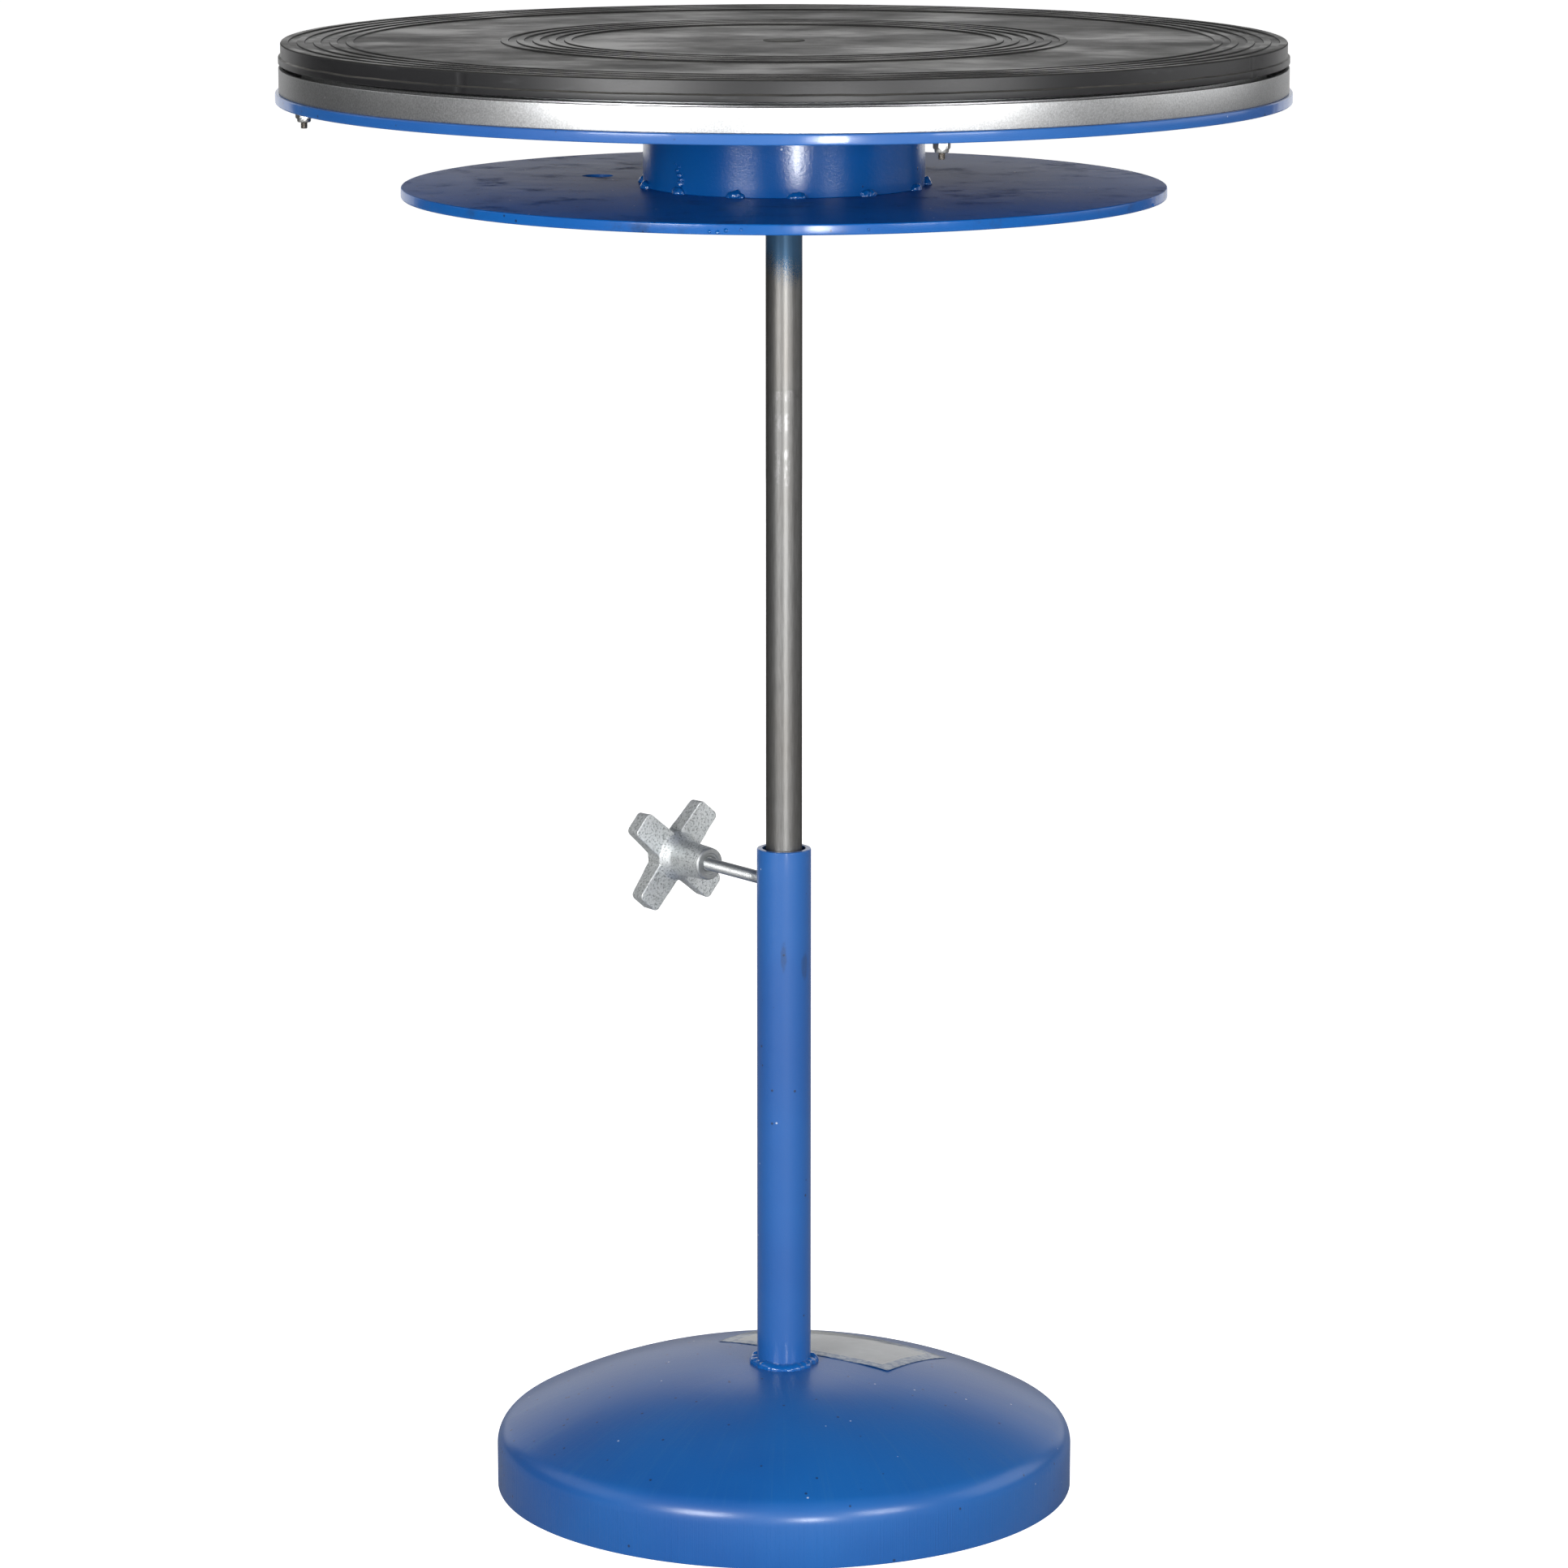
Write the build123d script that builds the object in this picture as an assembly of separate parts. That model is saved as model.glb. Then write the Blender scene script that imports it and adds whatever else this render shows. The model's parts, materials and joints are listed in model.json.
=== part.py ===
"""Pedestal turntable: a ribbed rubber top on a ball bearing ring, carried by a welded spool
on a steel rod that slides in the tube of a domed base and is held by a four-arm clamp screw.

Millimetres. +Z is up and the origin is on the floor, on the axis of the column.
Every height below is the height above the floor with the rod at its middle setting.
"""

from build123d import *
import math
import os

INCH = 25.4

# Base: a pressed dome, open underneath, with a pipe welded through its crown.
BASE_RADIUS = 179.3
BASE_WALL = 6.35
CROWN_HEIGHT = 77.0
CROWN_RADIUS = 1250.0
CROWN_EDGE = 42.0  # distance from the axis where the flat crown meets the tighter curve
SHOULDER_RADIUS = 292.0
KNUCKLE_RADIUS = 17.0
TUBE_RADIUS = 1.315 * INCH / 2
TUBE_BORE_RADIUS = 1.049 * INCH / 2
TUBE_BOTTOM = 60.0
TUBE_TOP = 404.7
TUBE_EDGE = 0.6
FOOT_WELD_LEG = 5.2

# Label, a thin rectangle on the dome behind the tube.
LABEL_LENGTH = 125.0
LABEL_WIDTH = 72.0
LABEL_THICKNESS = 0.25
LABEL_CENTRE = (30.7, 49.6)
LABEL_ANGLE = -32.0

# Clamp screw: a 5/16 inch stud through the tube wall, square to the column.
CLAMP_HEIGHT = 382.0
CLAMP_ANGLE = 128.0  # direction of the knob seen from above, from +X
STUD_RADIUS = 5 / 16 * INCH / 2
TAPPED_CLEARANCE = 0.08
STUD_TIP_GAP = 0.1
STUD_END = 97.0  # far end, measured from the column's axis
KNOB_FACE = 75.0  # end face of the boss, measured from the column's axis
KNOB_BORE_CLEARANCE = 0.05
BOSS_FACE_RADIUS = 10.2
BOSS_ROOT_RADIUS = 11.4
BOSS_LENGTH = 32.0
ARM_TIP = 37.5
ARM_ROOT_WIDTH = 19.0
ARM_TIP_WIDTH = 17.0
ARM_ROOT_DEPTH = 14.5
ARM_TIP_DEPTH = 10.5
ARM_COUNT = 4
ARM_TURN = 40.5

# Column rod and the welded spool.
ROD_RADIUS = 7 / 8 * INCH / 2
ROD_BOTTOM = 190.0
ROD_CHAMFER = 1.5
PLATE = 0.25 * INCH
LOWER_DISC_RADIUS = 230.6
LOWER_DISC_BOTTOM = 806.2
HUB_RADIUS = 85.0
HUB_WALL = 7.1
UPPER_PLATE_RADIUS = 304.8
UPPER_PLATE_BOTTOM = 863.8
PLATE_EDGE = 0.8
WELD_GAP = 0.15
ROD_WELD_LEG = 6.0
ACCESS_HOLE_RADIUS = 0.75 * INCH / 2
ACCESS_HOLE = (-113.8, 54.7)
TACK_ANGLES = (-165, -137, -110, -84.5, -53.7, -22.3, 3, 31, 58, 88, 119, 146, 170)
TACK_RADIUS = 5.0

# Bearing: a fixed ring and a turning ring with a row of caged balls between them.
RING_OUTER_RADIUS = 302.6
RING_HEIGHT = 14.65
RING_FLOOR = 3.4
RING_WALL = 2.5
CHANNEL_INNER_RADIUS = 288.9
RACE_INNER_RADIUS = 281.0
BALL_RADIUS = 3.0
BALL_CLEARANCE = 0.35
BALL_PITCH_RADIUS = 279.5
BALL_HEIGHT = 879.0
BALL_COUNT = 36
CAGE_THICKNESS = 1.5
CAGE_HEIGHT = 8.6
TURNING_RING_INNER = 267.0
TURNING_RING_OUTER = 278.0
TURNING_RING_BOTTOM = 873.5

# No. 8 screws and locknuts that hold the fixed ring on the upper plate.
RING_SCREW_CIRCLE = 295.0
RING_SCREW_ANGLES = [17.3 + 90 * n for n in range(4)]
SCREW_RADIUS = 0.164 * INCH / 2
SCREW_CLEARANCE = 0.22
SCREW_HEAD_RADIUS = 3.9
SCREW_HEAD_HEIGHT = 2.4
SCREW_STICKS_OUT = 3.7
NUT_ACROSS_FLATS = 11 / 32 * INCH
NUT_HEX_HEIGHT = 3.9
NUT_HEIGHT = 6.0
NUT_COLLAR_RADIUS = 4.05
NUT_BORE_CLEARANCE = 0.03

# Turning top: a plate on the turning ring, inside a moulded rubber cover.
TOP_PLATE_RADIUS = 298.4
TOP_PLATE_BOTTOM = 889.2
TOP_PLATE_THICKNESS = 7.0
COUNTERSUNK_CIRCLE = 272.0
COUNTERSUNK_COUNT = 6
COUNTERSUNK_RADIUS = 2.5
COUNTERSUNK_HEAD_RADIUS = 4.6
COUNTERSUNK_TIP = 882.0
RUBBER_RADIUS = 301.4
RUBBER_LIP_RADIUS = 302.8
RUBBER_BOTTOM = 887.2
RUBBER_LIP_HEIGHT = 3.9
RUBBER_LIP_INNER = 291.5
RUBBER_TOP = 899.9
RIB_HEIGHT = 1.0
RIB_FLANK = 0.35
RIB_WIDTH = 4.1
RIM_INNER = 296.6
OUTER_RIBS = [288.9 - 9.7 * n for n in range(4)]
INNER_RIBS = [167.4 - 9.5 * n for n in range(5)]
CENTRE_PAD_RADIUS = 12.3
CENTRE_PAD_HEIGHT = 0.4

LOWER_DISC_TOP = LOWER_DISC_BOTTOM + PLATE
UPPER_PLATE_TOP = UPPER_PLATE_BOTTOM + PLATE
RING_TOP = UPPER_PLATE_TOP + RING_HEIGHT
TOP_PLATE_TOP = TOP_PLATE_BOTTOM + TOP_PLATE_THICKNESS
RUBBER_FIELD = RUBBER_TOP - RIB_HEIGHT

MIN_UP = (Align.CENTER, Align.CENTER, Align.MIN)
MAX_DOWN = (Align.CENTER, Align.CENTER, Align.MAX)


def post(radius, bottom, top, centre=(0, 0)):
    """An upright cylinder between two heights."""
    return Pos(*centre, bottom) * Cylinder(radius, top - bottom, align=MIN_UP)


def ring(outer, inner, bottom, top):
    return post(outer, bottom, top) - post(inner, bottom, top)


def spun(*edges):
    """Turns a closed outline, drawn as (distance from the axis, height), about the axis."""
    return revolve(Plane.XZ * make_face(Curve() + list(edges)), Axis.Z)


def spun_polygon(*points):
    return spun(Polyline(*points, close=True))


def around(circle, angle):
    """A point on a circle about the axis, seen from above."""
    turn = math.radians(angle)
    return (circle * math.cos(turn), circle * math.sin(turn))


# ---------------------------------------------------------------- base


def dome_corners(offset):
    """Points where the dome's arcs meet, moved outward by offset, and the arcs' centres."""
    crown_centre = (0, CROWN_HEIGHT - CROWN_RADIUS)
    lean = math.acos(CROWN_EDGE / CROWN_RADIUS)
    inward = CROWN_RADIUS - SHOULDER_RADIUS
    shoulder_centre = (inward * math.cos(lean), crown_centre[1] + inward * math.sin(lean))
    knuckle_x = BASE_RADIUS - KNUCKLE_RADIUS
    reach = SHOULDER_RADIUS - KNUCKLE_RADIUS
    rise = math.sqrt(reach**2 - (knuckle_x - shoulder_centre[0]) ** 2)
    knuckle_centre = (knuckle_x, shoulder_centre[1] + rise)
    bend = math.atan2(rise, knuckle_x - shoulder_centre[0])

    def on(centre, radius, angle):
        return (centre[0] + radius * math.cos(angle), centre[1] + radius * math.sin(angle))

    crown, shoulder, knuckle = (r + offset for r in (CROWN_RADIUS, SHOULDER_RADIUS, KNUCKLE_RADIUS))
    top = on(crown_centre, crown, math.pi / 2)
    crown_middle = on(crown_centre, crown, (lean + math.pi / 2) / 2)
    crown_end = on(crown_centre, crown, lean)
    shoulder_middle = on(shoulder_centre, shoulder, (lean + bend) / 2)
    shoulder_end = on(shoulder_centre, shoulder, bend)
    knuckle_middle = on(knuckle_centre, knuckle, bend / 2)
    knuckle_end = on(knuckle_centre, knuckle, 0)
    return top, crown_middle, crown_end, shoulder_middle, shoulder_end, knuckle_middle, knuckle_end


def dome_solid(offset):
    """The whole dome as if it were solid, with its skin moved outward by offset."""
    top, c_mid, c_end, s_mid, s_end, k_mid, k_end = dome_corners(offset)
    return spun(
        ThreePointArc(top, c_mid, c_end),
        ThreePointArc(c_end, s_mid, s_end),
        ThreePointArc(s_end, k_mid, k_end),
        Polyline(k_end, (k_end[0], 0), (0, 0), top),
    )


def base_dome():
    shell = dome_solid(0) - dome_solid(-BASE_WALL)
    return shell - post(TUBE_RADIUS + WELD_GAP, 0, CROWN_HEIGHT + 1)


def clamp_plane(distance=0):
    """A plane square to the clamp screw, at a distance from the column's axis."""
    across, along = around(1, CLAMP_ANGLE)
    origin = (distance * across, distance * along, CLAMP_HEIGHT)
    return Plane(origin=origin, x_dir=(-along, across, 0), z_dir=(across, along, 0))


def base_tube():
    tube = ring(TUBE_RADIUS, TUBE_BORE_RADIUS, TUBE_BOTTOM, TUBE_TOP)
    tube = chamfer(tube.edges().group_by(Axis.Z)[-1], TUBE_EDGE)
    hole = clamp_plane() * Cylinder(STUD_RADIUS + TAPPED_CLEARANCE, 2 * TUBE_RADIUS, align=MIN_UP)
    return tube - hole


def foot_weld():
    """A fillet of weld between the dome's crown and the tube."""
    wide = TUBE_RADIUS + FOOT_WELD_LEG
    fillet_ring = spun_polygon(
        (TUBE_RADIUS, CROWN_HEIGHT - 2),
        (wide, CROWN_HEIGHT - 2),
        (wide, CROWN_HEIGHT + 1),
        (TUBE_RADIUS + 2, CROWN_HEIGHT + FOOT_WELD_LEG),
        (TUBE_RADIUS, CROWN_HEIGHT + FOOT_WELD_LEG + 1),
    )
    return fillet_ring - dome_solid(0)


def base_label():
    sheet = dome_solid(LABEL_THICKNESS) - dome_solid(0)
    outline = Pos(*LABEL_CENTRE, 0) * Rot(0, 0, LABEL_ANGLE) * Box(
        LABEL_LENGTH, LABEL_WIDTH, CROWN_HEIGHT * 2, align=MIN_UP
    )
    return sheet & outline


# ---------------------------------------------------------------- clamp screw


def clamp_stud():
    tip = ROD_RADIUS + STUD_TIP_GAP
    stud = Cylinder(STUD_RADIUS, STUD_END - tip, align=MIN_UP)
    return clamp_plane(tip) * chamfer(stud.edges().filter_by(GeomType.CIRCLE), 0.7)


def knob_arm():
    """One arm along +X: tapering in plan, and thinner at its tip than at its root."""
    plan = Polygon(
        (0, -ARM_ROOT_WIDTH / 2),
        (ARM_TIP, -ARM_TIP_WIDTH / 2),
        (ARM_TIP, ARM_TIP_WIDTH / 2),
        (0, ARM_ROOT_WIDTH / 2),
        align=None,
    )
    side = Polygon((0, 0), (ARM_TIP, 0), (ARM_TIP, ARM_TIP_DEPTH), (0, ARM_ROOT_DEPTH), align=None)
    block = extrude(plan, ARM_ROOT_DEPTH) & extrude(Plane.XZ * side, ARM_ROOT_WIDTH, both=True)
    tip_edges = block.edges().filter_by_position(Axis.X, ARM_TIP - 0.1, ARM_TIP + 0.1)
    return fillet(tip_edges, 2.6)


def clamp_knob():
    """A cast four-arm knob with a long boss that faces the column."""
    arms = knob_arm()
    for n in range(1, ARM_COUNT):
        arms += Rot(0, 0, 360 / ARM_COUNT * n) * knob_arm()
    flare = 2.5
    boss = spun_polygon(
        (0, -BOSS_LENGTH),
        (BOSS_FACE_RADIUS - 0.9, -BOSS_LENGTH),
        (BOSS_FACE_RADIUS, -BOSS_LENGTH + 0.9),
        (BOSS_ROOT_RADIUS, -flare),
        (BOSS_ROOT_RADIUS + flare, 0),
        (BOSS_ROOT_RADIUS + flare, ARM_ROOT_DEPTH),
        (0, ARM_ROOT_DEPTH + 1.5),
    )
    bore_radius = STUD_RADIUS + KNOB_BORE_CLEARANCE
    bore_depth = STUD_END - KNOB_FACE + 0.3
    bore = Pos(0, 0, -BOSS_LENGTH) * Cylinder(bore_radius, bore_depth, align=MIN_UP)
    mouth = Pos(0, 0, -BOSS_LENGTH) * Cone(bore_radius + 1.8, bore_radius, 1.6, align=MIN_UP)
    body = arms + boss - bore - mouth
    return clamp_plane(KNOB_FACE + BOSS_LENGTH) * Rot(0, 0, ARM_TURN) * body


# ---------------------------------------------------------------- rod and spool


def column_rod():
    rod = post(ROD_RADIUS, ROD_BOTTOM, UPPER_PLATE_BOTTOM)
    return chamfer(rod.edges().group_by(Axis.Z)[0], ROD_CHAMFER)


def rod_weld():
    """A fillet of weld under the lower disc, around the rod."""
    return spun_polygon(
        (ROD_RADIUS, LOWER_DISC_BOTTOM),
        (ROD_RADIUS + ROD_WELD_LEG, LOWER_DISC_BOTTOM),
        (ROD_RADIUS + ROD_WELD_LEG * 0.4, LOWER_DISC_BOTTOM - ROD_WELD_LEG * 0.6),
        (ROD_RADIUS, LOWER_DISC_BOTTOM - ROD_WELD_LEG),
    )


def disc(radius, bottom):
    """A flame-cut round plate with its edges broken."""
    plate = post(radius, bottom, bottom + PLATE)
    return fillet(plate.edges().filter_by(GeomType.CIRCLE), PLATE_EDGE)


def lower_disc():
    top = LOWER_DISC_TOP
    plate = disc(LOWER_DISC_RADIUS, LOWER_DISC_BOTTOM)
    plate -= post(ROD_RADIUS + WELD_GAP, LOWER_DISC_BOTTOM, top)
    return plate - post(ACCESS_HOLE_RADIUS, LOWER_DISC_BOTTOM, top, ACCESS_HOLE)


def hub_pipe():
    return ring(HUB_RADIUS, HUB_RADIUS - HUB_WALL, LOWER_DISC_TOP, UPPER_PLATE_BOTTOM)


def hub_tacks(height):
    """Blobs of weld round the hub, where it meets a plate at that height."""
    inside = post(HUB_RADIUS, LOWER_DISC_BOTTOM, UPPER_PLATE_TOP)
    between = ring(HUB_RADIUS + 4 * TACK_RADIUS, HUB_RADIUS, LOWER_DISC_TOP, UPPER_PLATE_BOTTOM)
    blobs = []
    for angle in TACK_ANGLES:
        centre = (*around(HUB_RADIUS, angle), height)
        blob = (Pos(*centre) * Sphere(TACK_RADIUS)) & between
        blobs.append(blob - inside)
    return Compound(children=[solid for blob in blobs for solid in blob.solids()])


def upper_plate():
    plate = disc(UPPER_PLATE_RADIUS, UPPER_PLATE_BOTTOM)
    for angle in RING_SCREW_ANGLES:
        spot = around(RING_SCREW_CIRCLE, angle)
        plate -= post(SCREW_RADIUS + SCREW_CLEARANCE, UPPER_PLATE_BOTTOM, UPPER_PLATE_TOP, spot)
    return plate


# ---------------------------------------------------------------- bearing


def ball_track():
    """The ring-shaped groove that the balls run in."""
    track = Plane.XZ * Pos(BALL_PITCH_RADIUS, BALL_HEIGHT) * Circle(BALL_RADIUS + BALL_CLEARANCE)
    return revolve(track, Axis.Z)


def fixed_ring():
    floor = UPPER_PLATE_TOP + RING_FLOOR
    body = spun_polygon(
        (RACE_INNER_RADIUS, UPPER_PLATE_TOP),
        (RING_OUTER_RADIUS, UPPER_PLATE_TOP),
        (RING_OUTER_RADIUS, RING_TOP),
        (RING_OUTER_RADIUS - RING_WALL, RING_TOP),
        (RING_OUTER_RADIUS - RING_WALL, floor),
        (CHANNEL_INNER_RADIUS, floor),
        (CHANNEL_INNER_RADIUS, RING_TOP),
        (RACE_INNER_RADIUS, RING_TOP),
    )
    body -= ball_track()
    for angle in RING_SCREW_ANGLES:
        spot = around(RING_SCREW_CIRCLE, angle)
        body -= post(SCREW_RADIUS + SCREW_CLEARANCE, UPPER_PLATE_TOP, floor, spot)
    return body


def ring_screws():
    under_head = UPPER_PLATE_TOP + RING_FLOOR
    tip = UPPER_PLATE_BOTTOM - NUT_HEIGHT - SCREW_STICKS_OUT
    screws = []
    for angle in RING_SCREW_ANGLES:
        spot = around(RING_SCREW_CIRCLE, angle)
        head = post(SCREW_HEAD_RADIUS, under_head, under_head + SCREW_HEAD_HEIGHT, spot)
        head = fillet(head.edges().group_by(Axis.Z)[-1], 1.2)
        shank = post(SCREW_RADIUS, tip, under_head, spot)
        shank = chamfer(shank.edges().group_by(Axis.Z)[0], 0.4)
        screws.append(head + shank)
    return Compound(children=[solid for screw in screws for solid in screw.solids()])


def ring_locknuts():
    nuts = []
    for angle in RING_SCREW_ANGLES:
        spot = around(RING_SCREW_CIRCLE, angle)
        hexagon = RegularPolygon(NUT_ACROSS_FLATS / 2, 6, major_radius=False)
        hexagon = Pos(*spot, UPPER_PLATE_BOTTOM) * Rot(0, 0, angle + 20) * hexagon
        nut = extrude(hexagon, -NUT_HEX_HEIGHT)
        bottom = UPPER_PLATE_BOTTOM - NUT_HEIGHT
        collar = post(NUT_COLLAR_RADIUS, bottom, UPPER_PLATE_BOTTOM - NUT_HEX_HEIGHT, spot)
        nut += chamfer(collar.edges().group_by(Axis.Z)[0], 0.7)
        nut -= post(SCREW_RADIUS + NUT_BORE_CLEARANCE, bottom, UPPER_PLATE_BOTTOM, spot)
        nuts.append(nut)
    return Compound(children=[solid for nut in nuts for solid in nut.solids()])


def ball_spots():
    return [around(BALL_PITCH_RADIUS, 360 / BALL_COUNT * n) for n in range(BALL_COUNT)]


def bearing_balls():
    return Compound(children=[Pos(*spot, BALL_HEIGHT) * Sphere(BALL_RADIUS) for spot in ball_spots()])


def ball_cage():
    cage = ring(
        BALL_PITCH_RADIUS + CAGE_THICKNESS / 2,
        BALL_PITCH_RADIUS - CAGE_THICKNESS / 2,
        BALL_HEIGHT - CAGE_HEIGHT / 2,
        BALL_HEIGHT + CAGE_HEIGHT / 2,
    )
    pocket = Rot(0, 90, 0) * Cylinder(BALL_RADIUS + BALL_CLEARANCE, 4 * CAGE_THICKNESS)
    pockets = [
        Pos(*spot, BALL_HEIGHT) * Rot(0, 0, 360 / BALL_COUNT * n) * pocket
        for n, spot in enumerate(ball_spots())
    ]
    return cage - pockets


def turning_ring():
    body = ring(TURNING_RING_OUTER, TURNING_RING_INNER, TURNING_RING_BOTTOM, TOP_PLATE_BOTTOM)
    body -= ball_track()
    for n in range(COUNTERSUNK_COUNT):
        spot = around(COUNTERSUNK_CIRCLE, 360 / COUNTERSUNK_COUNT * n)
        body -= post(COUNTERSUNK_RADIUS + 0.05, COUNTERSUNK_TIP - 0.5, TOP_PLATE_BOTTOM, spot)
    return body


# ---------------------------------------------------------------- turning top


def countersunk(extra):
    """The countersunk screws, or with extra the room that they need."""
    head_depth = COUNTERSUNK_HEAD_RADIUS - COUNTERSUNK_RADIUS
    head = Cone(
        COUNTERSUNK_RADIUS + extra, COUNTERSUNK_HEAD_RADIUS + extra, head_depth, align=MAX_DOWN
    )
    screws = []
    for n in range(COUNTERSUNK_COUNT):
        spot = around(COUNTERSUNK_CIRCLE, 360 / COUNTERSUNK_COUNT * n)
        shank = post(COUNTERSUNK_RADIUS + extra, COUNTERSUNK_TIP, TOP_PLATE_TOP - head_depth, spot)
        screws.append(shank + Pos(*spot, TOP_PLATE_TOP) * head)
    return screws


def plate_screws():
    return Compound(children=[solid for screw in countersunk(0) for solid in screw.solids()])


def top_plate():
    return post(TOP_PLATE_RADIUS, TOP_PLATE_BOTTOM, TOP_PLATE_TOP) - countersunk(0.05)


def rib(centre):
    """Outline points of one raised rib, from its inner side to its outer side."""
    inner, outer = centre - RIB_WIDTH / 2, centre + RIB_WIDTH / 2
    return [
        (inner - RIB_FLANK, RUBBER_FIELD),
        (inner, RUBBER_TOP),
        (outer, RUBBER_TOP),
        (outer + RIB_FLANK, RUBBER_FIELD),
    ]


def rubber_mat():
    """A moulded cover that wraps the top plate's edge, with ribs and a thicker lip."""
    ribs = [point for centre in reversed(OUTER_RIBS + INNER_RIBS) for point in rib(centre)]
    pad_top = RUBBER_FIELD + CENTRE_PAD_HEIGHT
    lip_top = RUBBER_BOTTOM + RUBBER_LIP_HEIGHT
    return spun_polygon(
        (0, TOP_PLATE_TOP),
        (0, pad_top),
        (CENTRE_PAD_RADIUS, pad_top),
        (CENTRE_PAD_RADIUS + CENTRE_PAD_HEIGHT, RUBBER_FIELD),
        *ribs,
        (RIM_INNER - RIB_FLANK, RUBBER_FIELD),
        (RIM_INNER, RUBBER_TOP),
        (RUBBER_RADIUS - 0.8, RUBBER_TOP),
        (RUBBER_RADIUS, RUBBER_TOP - 0.8),
        (RUBBER_RADIUS, lip_top + 0.6),
        (RUBBER_LIP_RADIUS, lip_top),
        (RUBBER_LIP_RADIUS, RUBBER_BOTTOM),
        (RUBBER_LIP_INNER, RUBBER_BOTTOM),
        (RUBBER_LIP_INNER, TOP_PLATE_BOTTOM),
        (TOP_PLATE_RADIUS, TOP_PLATE_BOTTOM),
        (TOP_PLATE_RADIUS, TOP_PLATE_TOP),
    )


PARTS = {
    "base_dome": base_dome,
    "base_tube": base_tube,
    "tube_foot_weld": foot_weld,
    "base_label": base_label,
    "clamp_stud": clamp_stud,
    "clamp_knob": clamp_knob,
    "column_rod": column_rod,
    "rod_weld": rod_weld,
    "lower_disc": lower_disc,
    "hub_pipe": hub_pipe,
    "hub_lower_tacks": lambda: hub_tacks(LOWER_DISC_TOP),
    "hub_upper_tacks": lambda: hub_tacks(UPPER_PLATE_BOTTOM),
    "upper_plate": upper_plate,
    "fixed_ring": fixed_ring,
    "ring_screws": ring_screws,
    "ring_locknuts": ring_locknuts,
    "bearing_balls": bearing_balls,
    "ball_cage": ball_cage,
    "turning_ring": turning_ring,
    "plate_screws": plate_screws,
    "top_plate": top_plate,
    "rubber_mat": rubber_mat,
}

os.makedirs("parts", exist_ok=True)
for node, make in PARTS.items():
    export_step(make(), f"parts/{node}.step")
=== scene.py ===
import json
import math
import random

import bmesh
import bpy
from mathutils import Matrix, Vector, noise


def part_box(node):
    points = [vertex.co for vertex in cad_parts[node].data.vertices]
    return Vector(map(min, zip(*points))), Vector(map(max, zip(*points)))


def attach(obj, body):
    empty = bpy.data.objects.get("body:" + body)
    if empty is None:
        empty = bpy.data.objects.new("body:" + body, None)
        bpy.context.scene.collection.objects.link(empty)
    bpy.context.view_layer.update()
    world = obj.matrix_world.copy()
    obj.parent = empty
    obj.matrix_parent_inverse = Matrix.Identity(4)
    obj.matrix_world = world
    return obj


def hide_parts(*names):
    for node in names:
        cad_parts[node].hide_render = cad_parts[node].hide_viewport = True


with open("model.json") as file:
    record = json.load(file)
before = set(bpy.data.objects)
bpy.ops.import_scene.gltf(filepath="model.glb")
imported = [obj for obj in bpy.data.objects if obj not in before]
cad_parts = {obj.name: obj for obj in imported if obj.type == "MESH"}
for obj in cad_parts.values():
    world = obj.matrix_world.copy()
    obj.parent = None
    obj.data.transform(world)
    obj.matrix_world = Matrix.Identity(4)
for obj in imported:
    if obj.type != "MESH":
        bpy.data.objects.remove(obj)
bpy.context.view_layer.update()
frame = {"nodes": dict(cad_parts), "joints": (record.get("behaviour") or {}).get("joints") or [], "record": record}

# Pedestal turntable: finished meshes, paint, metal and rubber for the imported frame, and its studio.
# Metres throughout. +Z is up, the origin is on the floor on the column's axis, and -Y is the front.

MM = 0.001
TURN = 2 * math.pi
FRONT = -math.pi / 2


# ------------------------------------------------------------------ reading the frame


def low(node):
    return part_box(node)[0]


def high(node):
    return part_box(node)[1]


def joint(name):
    return next(each for each in frame["joints"] if each["name"] == name)


def corners(node):
    return [vertex.co for vertex in frame["nodes"][node].data.vertices]


def reach(node):
    """The greatest distance of a node from the column's axis."""
    return max(math.hypot(point.x, point.y) for point in corners(node))


def inner_reach(node):
    return min(math.hypot(point.x, point.y) for point in corners(node))


def angles_of(node, gap=math.radians(5)):
    """The directions, seen from above, of the solids of a node that are spread round the axis."""
    turns = sorted(math.atan2(point.y, point.x) for point in corners(node))
    groups = [[turns[0]]]
    for turn in turns[1:]:
        if turn - groups[-1][-1] > gap:
            groups.append([])
        groups[-1].append(turn)
    if len(groups) > 1 and groups[0][0] + TURN - groups[-1][-1] < gap:
        wrapped = groups.pop()
        groups[0] += [turn - TURN for turn in wrapped]
    return [(min(group) + max(group)) / 2 for group in groups]


DISC_RADIUS = reach("lower_disc")
HUB_RADIUS = reach("hub_pipe")
TUBE_RADIUS = reach("base_tube")
TUBE_BORE = inner_reach("base_tube")
ROD_RADIUS = reach("column_rod")
BASE_RADIUS = reach("base_dome")
CROWN = high("base_dome").z


# ------------------------------------------------------------------ camera, floor and light

CAMERA_DISTANCE = 3.7364
CAMERA_HEIGHT = 1.17876
CAMERA_PITCH = 0.194
CAMERA_LENS = 142.48
SENSOR_WIDTH = 36
FAR_CLIP = 200
LIGHTS_AIM = Vector((0, 0, 0.55))

# The far walls stay inside the clip distance of a camera that stands anywhere round the object.
FLOOR_HALF = 25
WALL_HEIGHT = 15
FLOOR_DROP = 0.0003
FLOOR_BOUNCE = 0.5
FLOOR_GLOW = 1.0
SKY = 0.07


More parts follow.
